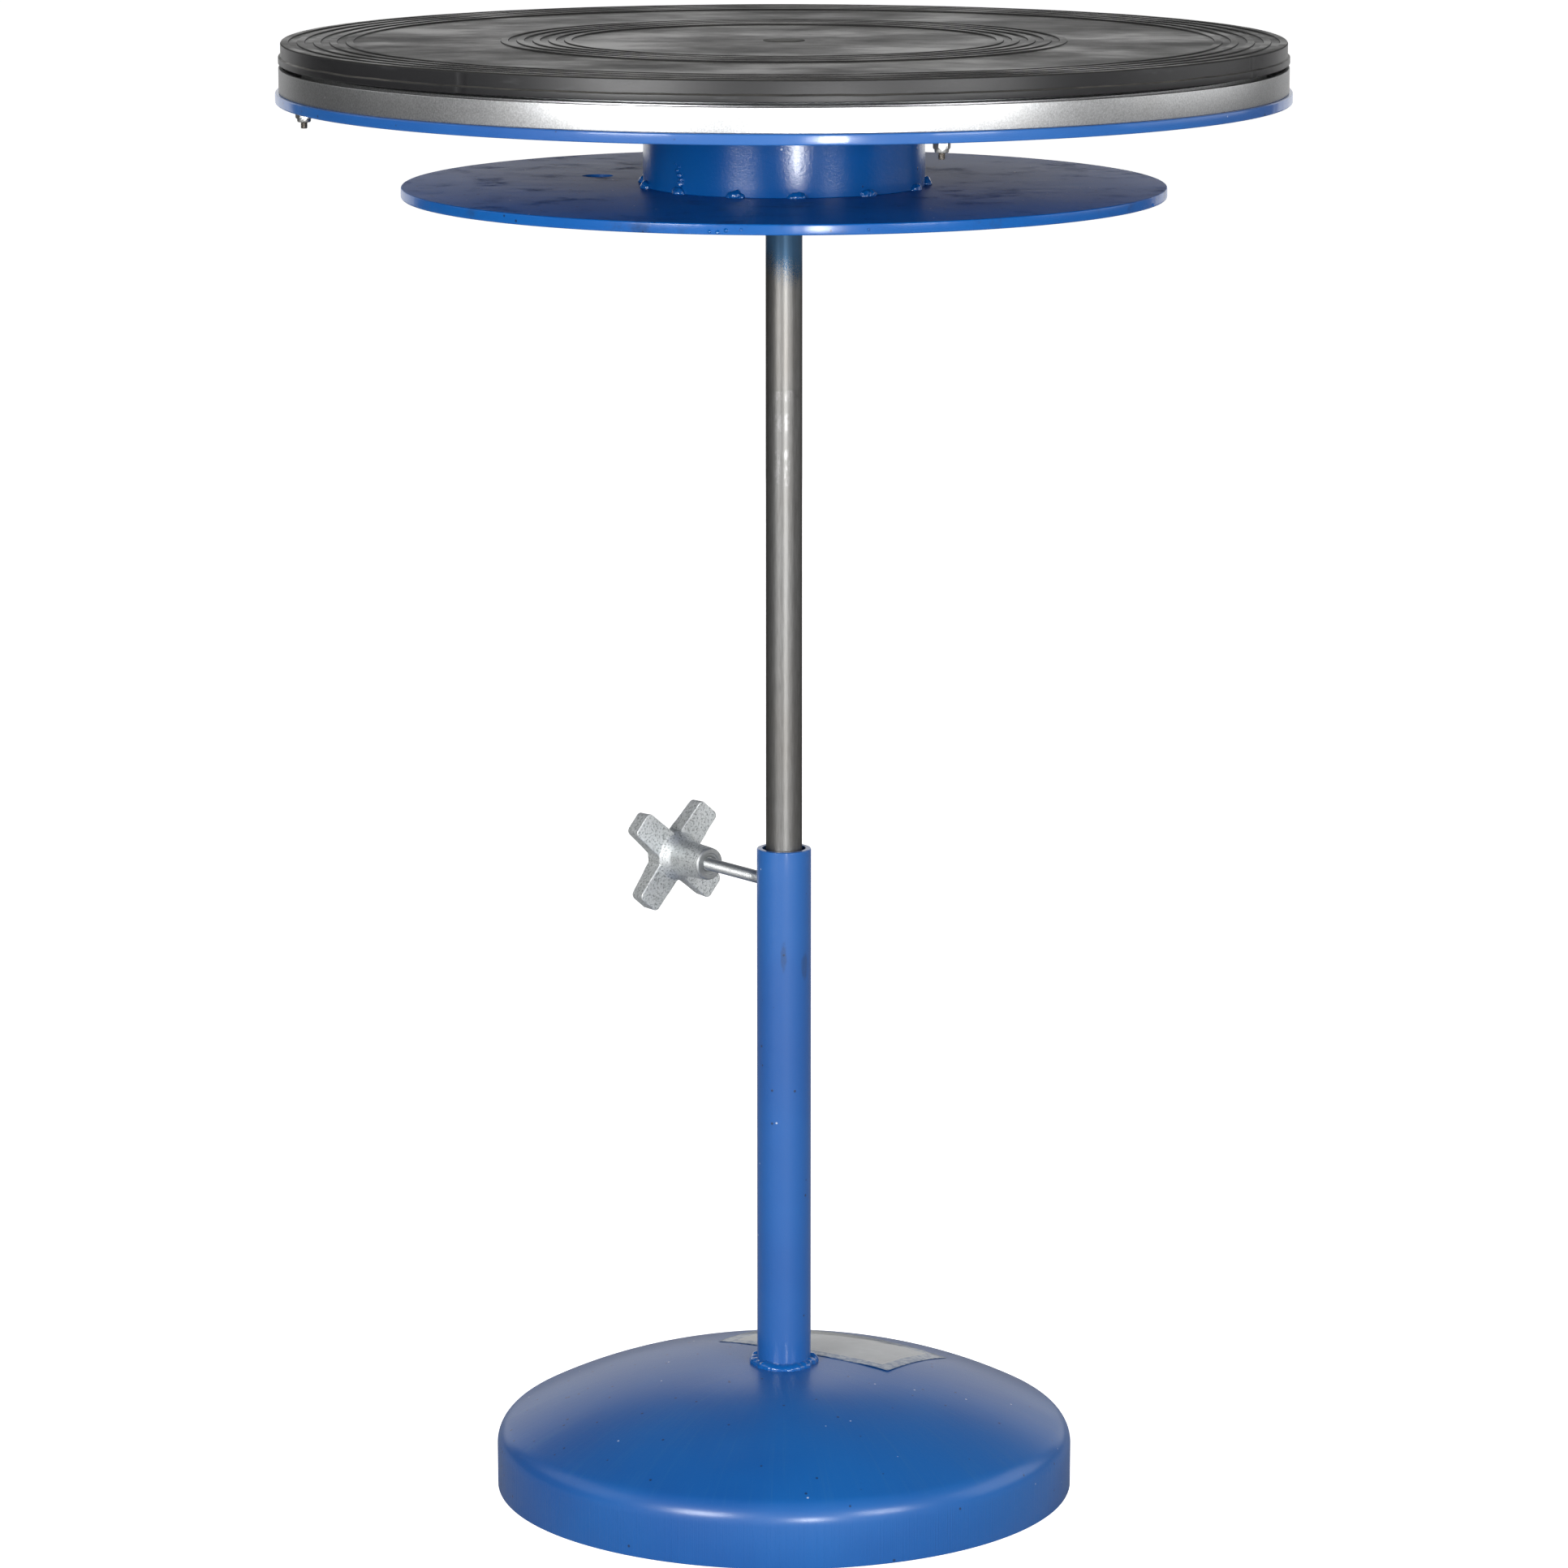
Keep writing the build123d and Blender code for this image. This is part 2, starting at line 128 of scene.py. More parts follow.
def add_camera():
    data = bpy.data.cameras.new("camera")
    data.sensor_width = SENSOR_WIDTH
    data.lens = CAMERA_LENS
    data.clip_end = FAR_CLIP
    camera = bpy.data.objects.new("camera", data)
    camera.location = (0, -CAMERA_DISTANCE, CAMERA_HEIGHT)
    camera.rotation_euler = (math.pi / 2 - CAMERA_PITCH, 0, 0)
    bpy.context.scene.collection.objects.link(camera)
    bpy.context.scene.camera = camera


def add_softbox(name, around, away, height, width, tall, watts):
    """A soft rectangular light, turned around the object from the front, that faces the column."""
    data = bpy.data.lights.new(name, "AREA")
    data.shape = "RECTANGLE"
    data.size = width
    data.size_y = tall
    data.energy = watts
    box = bpy.data.objects.new(name, data)
    turn = math.radians(around)
    box.location = (away * math.sin(turn), -away * math.cos(turn), height)
    box.rotation_euler = (LIGHTS_AIM - box.location).to_track_quat("-Z", "Y").to_euler()
    box.visible_camera = False
    bpy.context.scene.collection.objects.link(box)


def add_floor():
    """A plain pale floor, turned up far away. It looks white, but what it throws on the object is grey."""
    mesh = bpy.data.meshes.new("floor")
    square = [(x * FLOOR_HALF, y * FLOOR_HALF) for x, y in ((-1, -1), (1, -1), (1, 1), (-1, 1))]
    points = [(x, y, z) for z in (0, WALL_HEIGHT) for x, y in square]
    walls = [(side, (side + 1) % 4, (side + 1) % 4 + 4, side + 4) for side in range(4)]
    mesh.from_pydata(points, [], [(0, 1, 2, 3), *walls])
    floor = bpy.data.objects.new("floor", mesh)
    floor.location.z = -FLOOR_DROP
    bpy.context.scene.collection.objects.link(floor)
    paint = Finish("floor")
    seen = paint.add("LightPath", out="Is Camera Ray")
    shade = paint.blend(seen, grey(FLOOR_BOUNCE), grey(0.8))
    diffuse = paint.add("BsdfDiffuse", sockets={"Color": shade})
    glow = paint.add("Emission", sockets={"Color": grey(1), "Strength": seen * FLOOR_GLOW})
    both = paint.add("AddShader", sockets={0: diffuse, 1: glow})
    paint.add("OutputMaterial", sockets={"Surface": both}, out=None)
    mesh.materials.append(paint.material)


def add_studio():
    world = bpy.data.worlds.new("studio")
    world.use_nodes = True
    world.node_tree.nodes["Background"].inputs["Color"].default_value = grey(1)
    world.node_tree.nodes["Background"].inputs["Strength"].default_value = SKY
    bpy.context.scene.world = world
    bpy.context.scene.view_settings.view_transform = "Standard"
    add_floor()
    add_softbox("front_light", around=10, away=3.5, height=0.6, width=0.3, tall=0.6, watts=50)
    add_softbox("left_light", around=-33, away=3.4, height=1.35, width=1.1, tall=0.9, watts=84)
    add_softbox("right_light", around=39, away=3.4, height=1.35, width=0.9, tall=0.9, watts=44)
    add_softbox("top_light", around=20, away=1.0, height=3.4, width=2.4, tall=2.4, watts=3)
    add_softbox("right_side_light", around=100, away=3.4, height=1.55, width=3.0, tall=1.8, watts=26)
    add_softbox("left_side_light", around=-95, away=3.4, height=2.1, width=3.0, tall=1.8, watts=15)
    add_softbox("backdrop_light", around=180, away=4.2, height=1.2, width=6.5, tall=2.2, watts=51)


# ------------------------------------------------------------------ finishes


def grey(level):
    return (level, level, level, 1)


def tint(red, green, blue):
    """A display colour, from 0 to 255, as the linear colour that a shader takes."""

    def linear(level):
        share = level / 255
        return share / 12.92 if share <= 0.04045 else ((share + 0.055) / 1.055) ** 2.4

    return (linear(red), linear(green), linear(blue), 1)


class Reading:
    """One output of a finish's nodes. Arithmetic on it adds the Math nodes that work it out."""

    def __init__(self, finish, socket):
        self.finish = finish
        self.socket = socket

    def math(self, operation, *values):
        return self.finish.add("Math", {"operation": operation}, dict(enumerate(values)))

    def __add__(self, other):
        return self.math("ADD", self, other)

    def __radd__(self, other):
        return self.math("ADD", other, self)

    def __sub__(self, other):
        return self.math("SUBTRACT", self, other)

    def __rsub__(self, other):
        return self.math("SUBTRACT", other, self)

    def __mul__(self, other):
        return self.math("MULTIPLY", self, other)

    def __rmul__(self, other):
        return self.math("MULTIPLY", other, self)

    def __truediv__(self, other):
        return self.math("DIVIDE", self, other)

    def abs(self):
        return self.math("ABSOLUTE", self)

    def most(self, other):
        return self.math("MAXIMUM", self, other)


class Finish:
    """A material under construction. One method, add, makes every node."""

    def __init__(self, name):
        self.material = bpy.data.materials.new(name)
        self.material.use_nodes = True
        self.nodes = self.material.node_tree.nodes
        self.links = self.material.node_tree.links
        self.nodes.clear()
        self.place = self.add("TexCoord", out="Object")
        self.x, self.y, self.z = (
            self.add("SeparateXYZ", sockets={"Vector": self.place}, out=axis) for axis in "XYZ"
        )

    def add(self, kind, settings=None, sockets=None, out=0):
        """Adds a node: its settings first, then its sockets. Returns the named output, or nothing."""
        node = self.nodes.new("ShaderNode" + kind)
        for name, value in (settings or {}).items():
            setattr(node, name, value)
        for name, value in (sockets or {}).items():
            if isinstance(value, Reading):
                self.links.new(value.socket, node.inputs[name])
            else:
                node.inputs[name].default_value = value
        return None if out is None else Reading(self, node.outputs[out])

    def stretch(self, x, y, z):
        """The place on the object, scaled along each axis."""
        return self.add("VectorMath", {"operation": "MULTIPLY"}, {0: self.place, 1: (x, y, z)})

    def wrapped(self, around, outward, upward):
        """The place as seen going round the column: turn, distance and height, each scaled."""
        sockets = {"X": self.turn() * around, "Y": self.distance() * outward, "Z": self.z * upward}
        return self.add("CombineXYZ", sockets=sockets)

    def turn(self):
        """The turn about the column in radians, 0 at the front and growing towards +X."""
        return self.x.math("ARCTAN2", self.x, 0 - self.y)

    def distance(self):
        """How far the place is from the column's axis."""
        square = self.x * self.x + self.y * self.y
        return square.math("SQRT", square)

    def cloud(self, scale, detail=3.0, rough=0.55, where=None):
        sockets = {"Vector": where or self.place, "Scale": scale, "Detail": detail, "Roughness": rough}
        return self.add("TexNoise", sockets=sockets)

    def rise(self, value, start, end):
        """0 below start and 1 above end, with a smooth step between them."""
        sockets = {"Value": value, "From Min": start, "From Max": end}
        return self.add("MapRange", {"interpolation_type": "SMOOTHSTEP"}, sockets)

    def window(self, value, start, end, soft):
        """1 between start and end, with soft sides."""
        rising = self.rise(value, start - soft, start + soft)
        falling = self.rise(value, end - soft, end + soft)
        return rising * (1 - falling)

    def dots(self, scale, size, share, where=None):
        """Scattered round specks: size is a part of a cell, and share is how many cells hold one."""
        sockets = {"Vector": where or self.place, "Scale": scale}
        distance = self.add("TexVoronoi", sockets=sockets)
        colour = self.add("TexVoronoi", sockets=sockets, out="Color")
        pick = self.add("SeparateColor", sockets={"Color": colour}, out="Red")
        return (1 - self.rise(distance, size * 0.5, size)) * self.rise(pick, 1 - share, 1.001 - share)

    def blend(self, factor, first, second):
        """Two colours mixed."""
        settings = {"data_type": "RGBA"}
        return self.add("Mix", settings, {0: factor, 6: first, 7: second}, out=2)

    def upward(self):
        """How far a surface faces up, from -1 to 1."""
        normal = self.add("NewGeometry", out="Normal")
        return self.add("SeparateXYZ", sockets={"Vector": normal}, out="Z")

    def relief(self, height, depth):
        """A bump whose height, from 0 to 1, stands for depth in metres."""
        return self.add("Bump", sockets={"Height": height, "Distance": depth})

    def made(self, **sockets):
        """Closes the finish with a Principled shader; underscores stand for spaces in socket names."""
        named = {name.replace("_", " "): value for name, value in sockets.items()}
        shader = self.add("BsdfPrincipled", sockets=named)
        self.add("OutputMaterial", sockets={"Surface": shader}, out=None)
        return self.material


BLUE = tint(8, 92, 166)
BLUE_DEEP = tint(5, 79, 152)
PRESS_LINES_START = 0.034
PRESS_LINES_FULL = 0.026

# Dark scuffs on the tube: height above the floor, turn from the front, half height and half width.
TUBE_SCUFFS = [(0.34, -0.02, 0.011, 0.14), (0.332, 0.85, 0.01, 0.2)]

# Rub marks on the rod: bottom and top above the floor, left and right turn, and whether they shine.
ROD_MARKS = [
    (0.6886, 0.6893, -3.2, 3.2, False),
    (0.6832, 0.6883, -0.52, -0.10, True),
    (0.6832, 0.6883, 0.12, 0.42, True),
    (0.6840, 0.6883, 0.60, 0.95, False),
    (0.6637, 0.6744, -0.54, -0.12, True),
    (0.6637, 0.6744, 0.04, 0.26, True),
    (0.6313, 0.6523, -0.50, -0.30, True),
    (0.6313, 0.6523, -0.02, 0.30, True),
]
MIST_START = low("lower_disc").z - 0.062
MIST_END = low("lower_disc").z - 0.024

# Heights of the ribs' sides, which the rubber's finish darkens as painted shade.
RIB_FOOT = high("rubber_mat").z - 0.9 * MM
RIB_CREST = high("rubber_mat").z - 0.25 * MM
PAD_START = 9 * MM
PAD_END = 15 * MM

PANEL_HALF_LENGTH = 0.0535
PANEL_HALF_WIDTH = 0.0275


def blue_enamel(
    name,
    press_lines=False,
    gloss=0.15,
    satin=0.52,
    shine=0.5,
    coat=0.7,
    top_coat=0.7,
    peel_depth=0.00012,
    soil=0.0,
    scuffs=(),
):
    """Sprayed enamel: orange peel, dust nibs, rubbed streaks, and some dirt where it lies flat.

    gloss and satin are the roughness of the clear coat and of the paint under it; coat and top_coat are
    how much clear coat there is on the sides and on what faces up.
    """
    paint = Finish(name)
    drift = paint.cloud(5, detail=4)
    peel = paint.cloud(520, detail=2.5)
    grain = paint.cloud(2100, detail=1)
    left_back = paint.rise(paint.y * 0.5 - paint.x, 0.04, 0.13)
    nibs = paint.dots(150, 0.17, 0.1 + left_back * 0.4)
    pale_nibs = paint.dots(70, 0.06, 0.35)
    rubs = paint.cloud(1, detail=5, rough=0.7, where=paint.wrapped(60, 10, 10))
    up = paint.rise(paint.upward(), 0.5, 0.9)
    colour = paint.blend(paint.rise(drift, 0.3, 0.7), BLUE_DEEP, BLUE)
    dirt = paint.rise(paint.cloud(34, detail=7, rough=0.72), 0.5, 0.72) * soil
    colour = paint.blend(dirt, colour, tint(40, 46, 54))
    colour = paint.blend(paint.rise(rubs, 0.5, 0.75) * up * 0.3, colour, tint(44, 104, 160))
    colour = paint.blend(nibs * 0.75, colour, tint(16, 26, 44))
    colour = paint.blend(pale_nibs * 0.7, colour, tint(196, 208, 224))
    for place, around, tall, wide in scuffs:
        along, across = (paint.z - place) / tall, (paint.turn() - around) / wide
        ragged = (paint.cloud(240, detail=5, rough=0.7, where=paint.stretch(1, 1, 0.4)) - 0.5) * 2.4
        smudge = 1 - paint.rise(along * along + across * across + ragged, 0.1, 1.0)
        colour = paint.blend(smudge * 0.42, colour, tint(24, 44, 70))
    height = peel * 0.55 + grain * 0.25 + nibs * 0.5 + pale_nibs * 0.3 + rubs * up * 0.8
    if press_lines:
        lines = paint.cloud(1, detail=2, where=paint.wrapped(170, 0, 6))
        below_shoulder = 1 - paint.rise(paint.z, PRESS_LINES_FULL, PRESS_LINES_START)
        height = height + paint.rise(lines, 0.45, 0.75) * below_shoulder * 0.9
    rough = satin + (drift - 0.5) * 0.08 + grain * 0.05 + dirt * 0.2
    clear = coat + (top_coat - coat) * up - dirt * 0.3 + (rubs - 0.5) * 0.4
    return paint.made(
        Base_Color=colour,
        Roughness=rough,
        IOR=1.5,
        Specular_IOR_Level=shine,
        Coat_Weight=clear,
        Coat_Roughness=gloss,
        Normal=paint.relief(height, peel_depth),
    )


def weld_enamel():
    """The same paint where it lies thick on weld metal: glossier, with small ripples."""
    paint = Finish("weld_enamel")
    drift = paint.cloud(90, detail=4)
    ripple = paint.cloud(900, detail=3)
    soot = paint.rise(paint.cloud(260, detail=5, rough=0.7), 0.62, 0.8)
    colour = paint.blend(drift, BLUE_DEEP, BLUE)
    colour = paint.blend(soot * 0.5, colour, tint(14, 34, 70))
    return paint.made(
        Base_Color=colour,
        Roughness=0.2 + soot * 0.25,
        IOR=1.5,
        Coat_Weight=0.5,
        Coat_Roughness=0.1,
        Normal=paint.relief(ripple, 0.00012),
    )


def rod_steel():
    """Drawn bar: fine grain along its length, paint mist under the disc, and marks from the clamp."""
    steel = Finish("rod_steel")
    grain = steel.cloud(1, detail=4, rough=0.65, where=steel.stretch(1500, 1500, 90))
    sparkle = steel.cloud(2600, detail=1)
    stain = steel.cloud(14, detail=5, where=steel.stretch(1, 1, 0.35))
    turn = steel.turn()
    colour = steel.blend(grain, tint(102, 101, 99), tint(148, 148, 147))
    colour = steel.blend(steel.rise(stain, 0.45, 0.75) * 0.4, colour, tint(112, 104, 94))
    rough = 0.36 + grain * 0.12 + (sparkle - 0.5) * 0.12
    patches = steel.cloud(1, detail=4, rough=0.7, where=steel.stretch(500, 500, 160))
    worn = steel.rise(patches, 0.36, 0.62)
    wander = steel.cloud(170, detail=3) - 0.5
    for bottom, top, left, right, shine in ROD_MARKS:
        mark = steel.window(steel.z + wander * 0.006, bottom, top, 0.0012)
        mark = mark * steel.window(turn + wander * 0.5, left, right, 0.1) * worn
        colour = steel.blend(mark * 0.4, colour, grey(0.42 if shine else 0.1))
        rough = rough - mark * (0.07 if shine else 0.0)
    mist_edge = steel.x * 0.36 + (steel.cloud(40) - 0.5) * 0.02
    mist = steel.rise(steel.z + mist_edge, MIST_START, MIST_END)
    speck = steel.rise(steel.cloud(2400, detail=0) + mist * 0.75, 0.62, 0.9)
    colour = steel.blend(speck * steel.rise(mist, 0.02, 0.4) * 0.85, colour, tint(18, 72, 106))
    metal = 1 - speck * mist * 0.7
    return steel.made(
        Base_Color=colour,
        Metallic=metal,
        Roughness=rough,
        Specular_Tint=tint(150, 148, 144),
        Normal=steel.relief(grain * 0.5 + sparkle * 0.5, 0.00002),
    )


def ring_aluminium():
    """Satin rolled aluminium with a fine mottle, a few bright pits and light handling marks."""
    metal = Finish("ring_aluminium")
    mottle = metal.cloud(1000, detail=3, rough=0.7)
    bands = metal.cloud(1, detail=3, where=metal.wrapped(5, 0, 900))
    cloud = metal.cloud(16, detail=4)
    pits = metal.dots(110, 0.08, 0.16)
    dark_pits = metal.dots(150, 0.08, 0.1)
    colour = metal.blend(metal.rise(mottle, 0.25, 0.75), tint(178, 179, 180), tint(216, 217, 218))
    colour = metal.blend(metal.rise(cloud, 0.5, 0.8) * 0.25, colour, tint(168, 166, 160))
    colour = metal.blend(pits * 0.8, colour, grey(0.95))
    colour = metal.blend(dark_pits * 0.5, colour, tint(84, 84, 84))
    rough = 0.3 + mottle * 0.12 + cloud * 0.06
    height = mottle * 0.6 + bands * 0.25 + pits
    return metal.made(
        Base_Color=colour,
        Metallic=1.0,
        Roughness=rough,
        Specular_Tint=tint(190, 190, 190),
        Normal=metal.relief(height, 0.00004),
    )


def mill_aluminium():
    """Bare plate aluminium with its rolling lines, on the parts under the rubber."""
    metal = Finish("mill_aluminium")
    lines = metal.cloud(1, detail=3, where=metal.stretch(30, 900, 400))
    colour = metal.blend(lines, tint(168, 170, 172), tint(204, 206, 208))
    return metal.made(
        Base_Color=colour,
        Metallic=1.0,
        Roughness=0.3 + lines * 0.15,
        Normal=metal.relief(lines, 0.00002),
    )


def top_rubber():
    """Moulded rubber: dusty and wiped on top, where a lighter grey also stands in as a painted sheen; darker and
    shinier round the side.
    """
    rubber = Finish("top_rubber")
    up = rubber.rise(rubber.upward(), 0.4, 0.9)
    wipe = rubber.cloud(13, detail=6, rough=0.62, where=rubber.stretch(1.0, 1.4, 1.0))
    smear = rubber.cloud(1, detail=5, rough=0.6, where=rubber.wrapped(2.6, 26, 0))
    grit = rubber.cloud(900, detail=3, rough=0.7)
    bloom = rubber.cloud(22, detail=5)
    chalk = rubber.rise(wipe, 0.48, 0.72) * 0.7 + rubber.rise(smear, 0.52, 0.8) * 0.3
    worn_through = rubber.rise(wipe, 0.28, 0.46)
    painted_shade_rib_flank = rubber.window(rubber.z, RIB_FOOT, RIB_CREST, 0.00012)
    middle = 1 - rubber.rise(rubber.distance() + (bloom - 0.5) * 0.008, PAD_START, PAD_END)
    specks = rubber.dots(140, 0.06, 0.12)
    # These greys of the top are partly dust and partly a painted sheen of the lights on the top face; bare rubber
    # is the near black below.
    colour = rubber.blend(bloom, tint(62, 61, 58), tint(82, 81, 77))
    colour = rubber.blend(worn_through, tint(30, 30, 30), colour)
    # Only up-facing faces keep the lighter grey, as dust and painted sheen; the sides get the near-black rubber.
    colour = rubber.blend(up * 0.9, tint(22, 22, 24), colour)
    colour = rubber.blend(up * chalk * 0.6, colour, tint(140, 137, 130))
    # Painted shade: the ribs' sides are darkened to near black, and made rougher.
    colour = rubber.blend(painted_shade_rib_flank * 0.8, colour, tint(14, 14, 14))
    colour = rubber.blend(up * middle * 0.6, colour, tint(150, 150, 146))
    colour = rubber.blend(specks * 0.5, colour, tint(150, 148, 142))
    side_streaks = rubber.cloud(1, detail=5, where=rubber.wrapped(9, 0, 160))
    scuffs = rubber.rise(side_streaks, 0.55, 0.8) * (1 - up)
    colour = rubber.blend(scuffs * 0.25, colour, tint(96, 97, 100))
    wiped = rubber.rise(wipe, 0.3, 0.7) * up
    rough = 0.36 + up * 0.14 - wiped * 0.22 + grit * 0.1 + scuffs * 0.1 + painted_shade_rib_flank * 0.3
    height = grit * 0.4 + side_streaks * 0.3
    return rubber.made(
        Base_Color=colour,
        Roughness=rough,
        IOR=1.5,
        Normal=rubber.relief(height, 0.00006),
    )


def zinc_casting():
    """Zinc-plated sand casting: open grain, cloudy plating, and edges rubbed bright."""
    zinc = Finish("zinc_casting")
    sand = zinc.cloud(760, detail=3, rough=0.75)
    coarse = zinc.cloud(300, detail=2)
    cloud = zinc.cloud(110, detail=4)
    edge = zinc.rise(zinc.add("NewGeometry", out="Pointiness"), 0.51, 0.56)
    pits = zinc.rise(sand, 0.5, 0.64)
    colour = zinc.blend(cloud, tint(208, 212, 213), tint(240, 242, 242))
    colour = zinc.blend(pits * 0.75, colour, tint(112, 119, 119))
    colour = zinc.blend(edge * 0.7, colour, tint(244, 245, 245))
    rough = 0.6 + (sand - 0.5) * 0.25 - edge * 0.14
    return zinc.made(
        Base_Color=colour,
        Metallic=1.0,
        Roughness=rough,
        Normal=zinc.relief(sand * 0.8 + coarse * 0.3, 0.0004),
    )


def zinc_plate(name, rough=0.26, tarnish=0.0):
    """Bright zinc on nuts and the stud, brown with tarnish on the screws."""
    zinc = Finish(name)
    cloud = zinc.cloud(400, detail=4)
    fine = zinc.cloud(2500, detail=2)
    grime = zinc.rise(zinc.cloud(700, detail=5, rough=0.7), 0.55, 0.8)
    colour = zinc.blend(cloud, tint(176, 180, 182), tint(216, 217, 216))
    colour = zinc.blend(grime * 0.5, colour, tint(98, 96, 90))
    colour = zinc.blend(fine * tarnish + tarnish * 0.5, colour, tint(92, 80, 66))
    return zinc.made(
        Base_Color=colour,
        Metallic=1.0,
        Roughness=rough + fine * 0.12 + grime * 0.2,
        Normal=zinc.relief(fine, 0.00003),
    )


def nut_nylon():
    nylon = Finish("nut_nylon")
    cloud = nylon.cloud(600, detail=3)
    return nylon.made(
        Base_Color=nylon.blend(cloud, tint(196, 204, 214), tint(226, 229, 230)),
        Roughness=0.42 + cloud * 0.1,
        Normal=nylon.relief(cloud, 0.00003),
    )


def ball_steel():
    steel = Finish("ball_steel")
    haze = steel.cloud(300, detail=3)
    colour = steel.blend(haze, tint(190, 191, 193), tint(222, 222, 223))
    return steel.made(Base_Color=colour, Metallic=1.0, Roughness=0.08 + haze * 0.08)


def cage_nylon():
    nylon = Finish("cage_nylon")
    cloud = nylon.cloud(80, detail=3)
    fine = nylon.cloud(1500)
    colour = nylon.blend(cloud, tint(206, 200, 184), tint(222, 218, 204))
    relief = nylon.relief(fine, 0.00004)
    return nylon.made(Base_Color=colour, Roughness=0.5 + fine * 0.1, Normal=relief)


def label_film(across, along, middle):
    """A pale printed panel inside a clear border that has gone blotchy where the glue let go."""
    film = Finish("label_film")

    def off_middle(direction):
        """How far a place lies from the label's middle in one direction."""
        dot = {"operation": "DOT_PRODUCT"}
        measured = film.add("VectorMath", dot, {0: film.place, 1: tuple(direction)}, out="Value")
        return measured - middle.dot(direction)

    side, length = off_middle(across), off_middle(along)
    edge = (side.abs() - PANEL_HALF_WIDTH).most(length.abs() - PANEL_HALF_LENGTH)
    panel = 1 - film.rise(edge, -0.0002, 0.0002)
    rule = film.window(edge, -0.0032, -0.0027, 0.00015)
    blotch = film.cloud(260, detail=4, rough=0.6)
    grime = film.cloud(40, detail=6, rough=0.65)
    scratch = film.rise(film.cloud(60, detail=5, where=film.stretch(1, 5, 1)), 0.62, 0.74)
    ground = film.blend(film.rise(grime, 0.35, 0.75), tint(150, 153, 155), tint(176, 179, 180))
    ground = film.blend(rule * 0.5, ground, tint(120, 126, 134))
    ground = film.blend(scratch * 0.4, ground, tint(130, 132, 134))
    border = film.blend(film.rise(blotch, 0.44, 0.58), tint(74, 98, 134), tint(134, 146, 160))
    colour = film.blend(panel, border, ground)
    return film.made(
        Base_Color=colour,
        Roughness=0.28 + grime * 0.25,
        Coat_Weight=0.3,
        Normal=film.relief(blotch * (1 - panel) + grime * 0.4, 0.0001),
    )


# ------------------------------------------------------------------ mesh tools


def mesh_from(name, points, faces, sharp=40):
    """A smooth-shaded mesh with doubled points joined and its faces turned outward."""
    work = bmesh.new()
    placed = [work.verts.new(point) for point in points]
    for face in faces:
        work.faces.new([placed[index] for index in face])
    bmesh.ops.remove_doubles(work, verts=work.verts, dist=2e-6)
    bmesh.ops.recalc_face_normals(work, faces=work.faces)
    mesh = bpy.data.meshes.new(name)
    work.to_mesh(mesh)
    work.free()
    mesh.shade_smooth()
    mesh.set_sharp_from_angle(angle=math.radians(sharp))
    return mesh


def add_piece(mesh, body, finish, stands_for=()):
    piece = bpy.data.objects.new(mesh.name, mesh)
    bpy.context.scene.collection.objects.link(piece)
    mesh.materials.append(finish)
    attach(piece, body)
    if stands_for:
        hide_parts(*stands_for)
    return piece


def settle(piece):
    """Turns a piece's modifiers into its mesh."""
    graph = bpy.context.evaluated_depsgraph_get()
    mesh = bpy.data.meshes.new_from_object(piece.evaluated_get(graph))
    piece.modifiers.clear()
    piece.data = mesh


def eased(corner_list, steps=5):
    """A closed outline of (radius, height, rounding) corners, each turned into an arc."""
    outline = []
    count = len(corner_list)
    for index, (radius, height, rounding) in enumerate(corner_list):
        here = Vector((radius, height))
        before = Vector(corner_list[index - 1][:2]) - here
        after = Vector(corner_list[(index + 1) % count][:2]) - here
        if rounding == 0:
            outline.append(tuple(here))
            continue
        half = before.angle(after) / 2
        back = min(rounding / math.tan(half), 0.48 * before.length, 0.48 * after.length)
        size = back * math.tan(half)
        start = here + before.normalized() * back
        end = here + after.normalized() * back
        centre = here + (before.normalized() + after.normalized()).normalized() * size / math.sin(half)
        for step in range(steps + 1):
            spoke = (start - centre).lerp(end - centre, step / steps).normalized() * size
            outline.append(tuple(centre + spoke))
    return outline


def upright(node, inner, outer, foot, head, bore=0, rows=1):
    """The outline of a pipe, bar or disc as tall as a node, with rows of points up its sides.

    foot, head and bore are the rounding of its outer lower, outer upper and inner upper edges.
    """
    bottom, top = low(node).z, high(node).z
    outline = eased([(inner, bottom, 0), (outer, bottom, foot), (outer, top, head), (inner, top, bore)])
    filled = []
    for index, point in enumerate(outline):
        filled.append(point)
        after = outline[(index + 1) % len(outline)]
        if abs(after[1] - point[1]) > 0.5 * (top - bottom):
            for row in range(1, rows):
                filled.append(tuple(Vector(point).lerp(Vector(after), row / rows)))
    return filled


def polar(radius, turn, height=0.0):
    return (radius * math.cos(turn), radius * math.sin(turn), height)


def round_faces(steps, count, left_out=()):
    """Faces between neighbouring copies of a closed outline of count points, all the way round."""
    faces = []
    for step in range(steps):
        this, following = step * count, (step + 1) % steps * count
        for index in range(count):
            ahead = (index + 1) % count
            if index not in left_out:
                faces.append((this + index, following + index, following + ahead, this + ahead))
    return faces


def turned(name, outline, steps=288, warp=None, sharp=40):
    """Revolves a closed outline of (radius, height) points; warp may move each point by its turn."""
    points = []
    for step in range(steps):
        turn = TURN * step / steps
        for radius, height in outline:
            if warp:
                radius, height = warp(turn, radius, height)
            points.append(polar(radius, turn, height))
    count = len(outline)
    on_axis = [radius < 1e-9 for radius, height in outline]
    left_out = [index for index in range(count) if on_axis[index] and on_axis[(index + 1) % count]]
    return mesh_from(name, points, round_faces(steps, count, left_out), sharp)


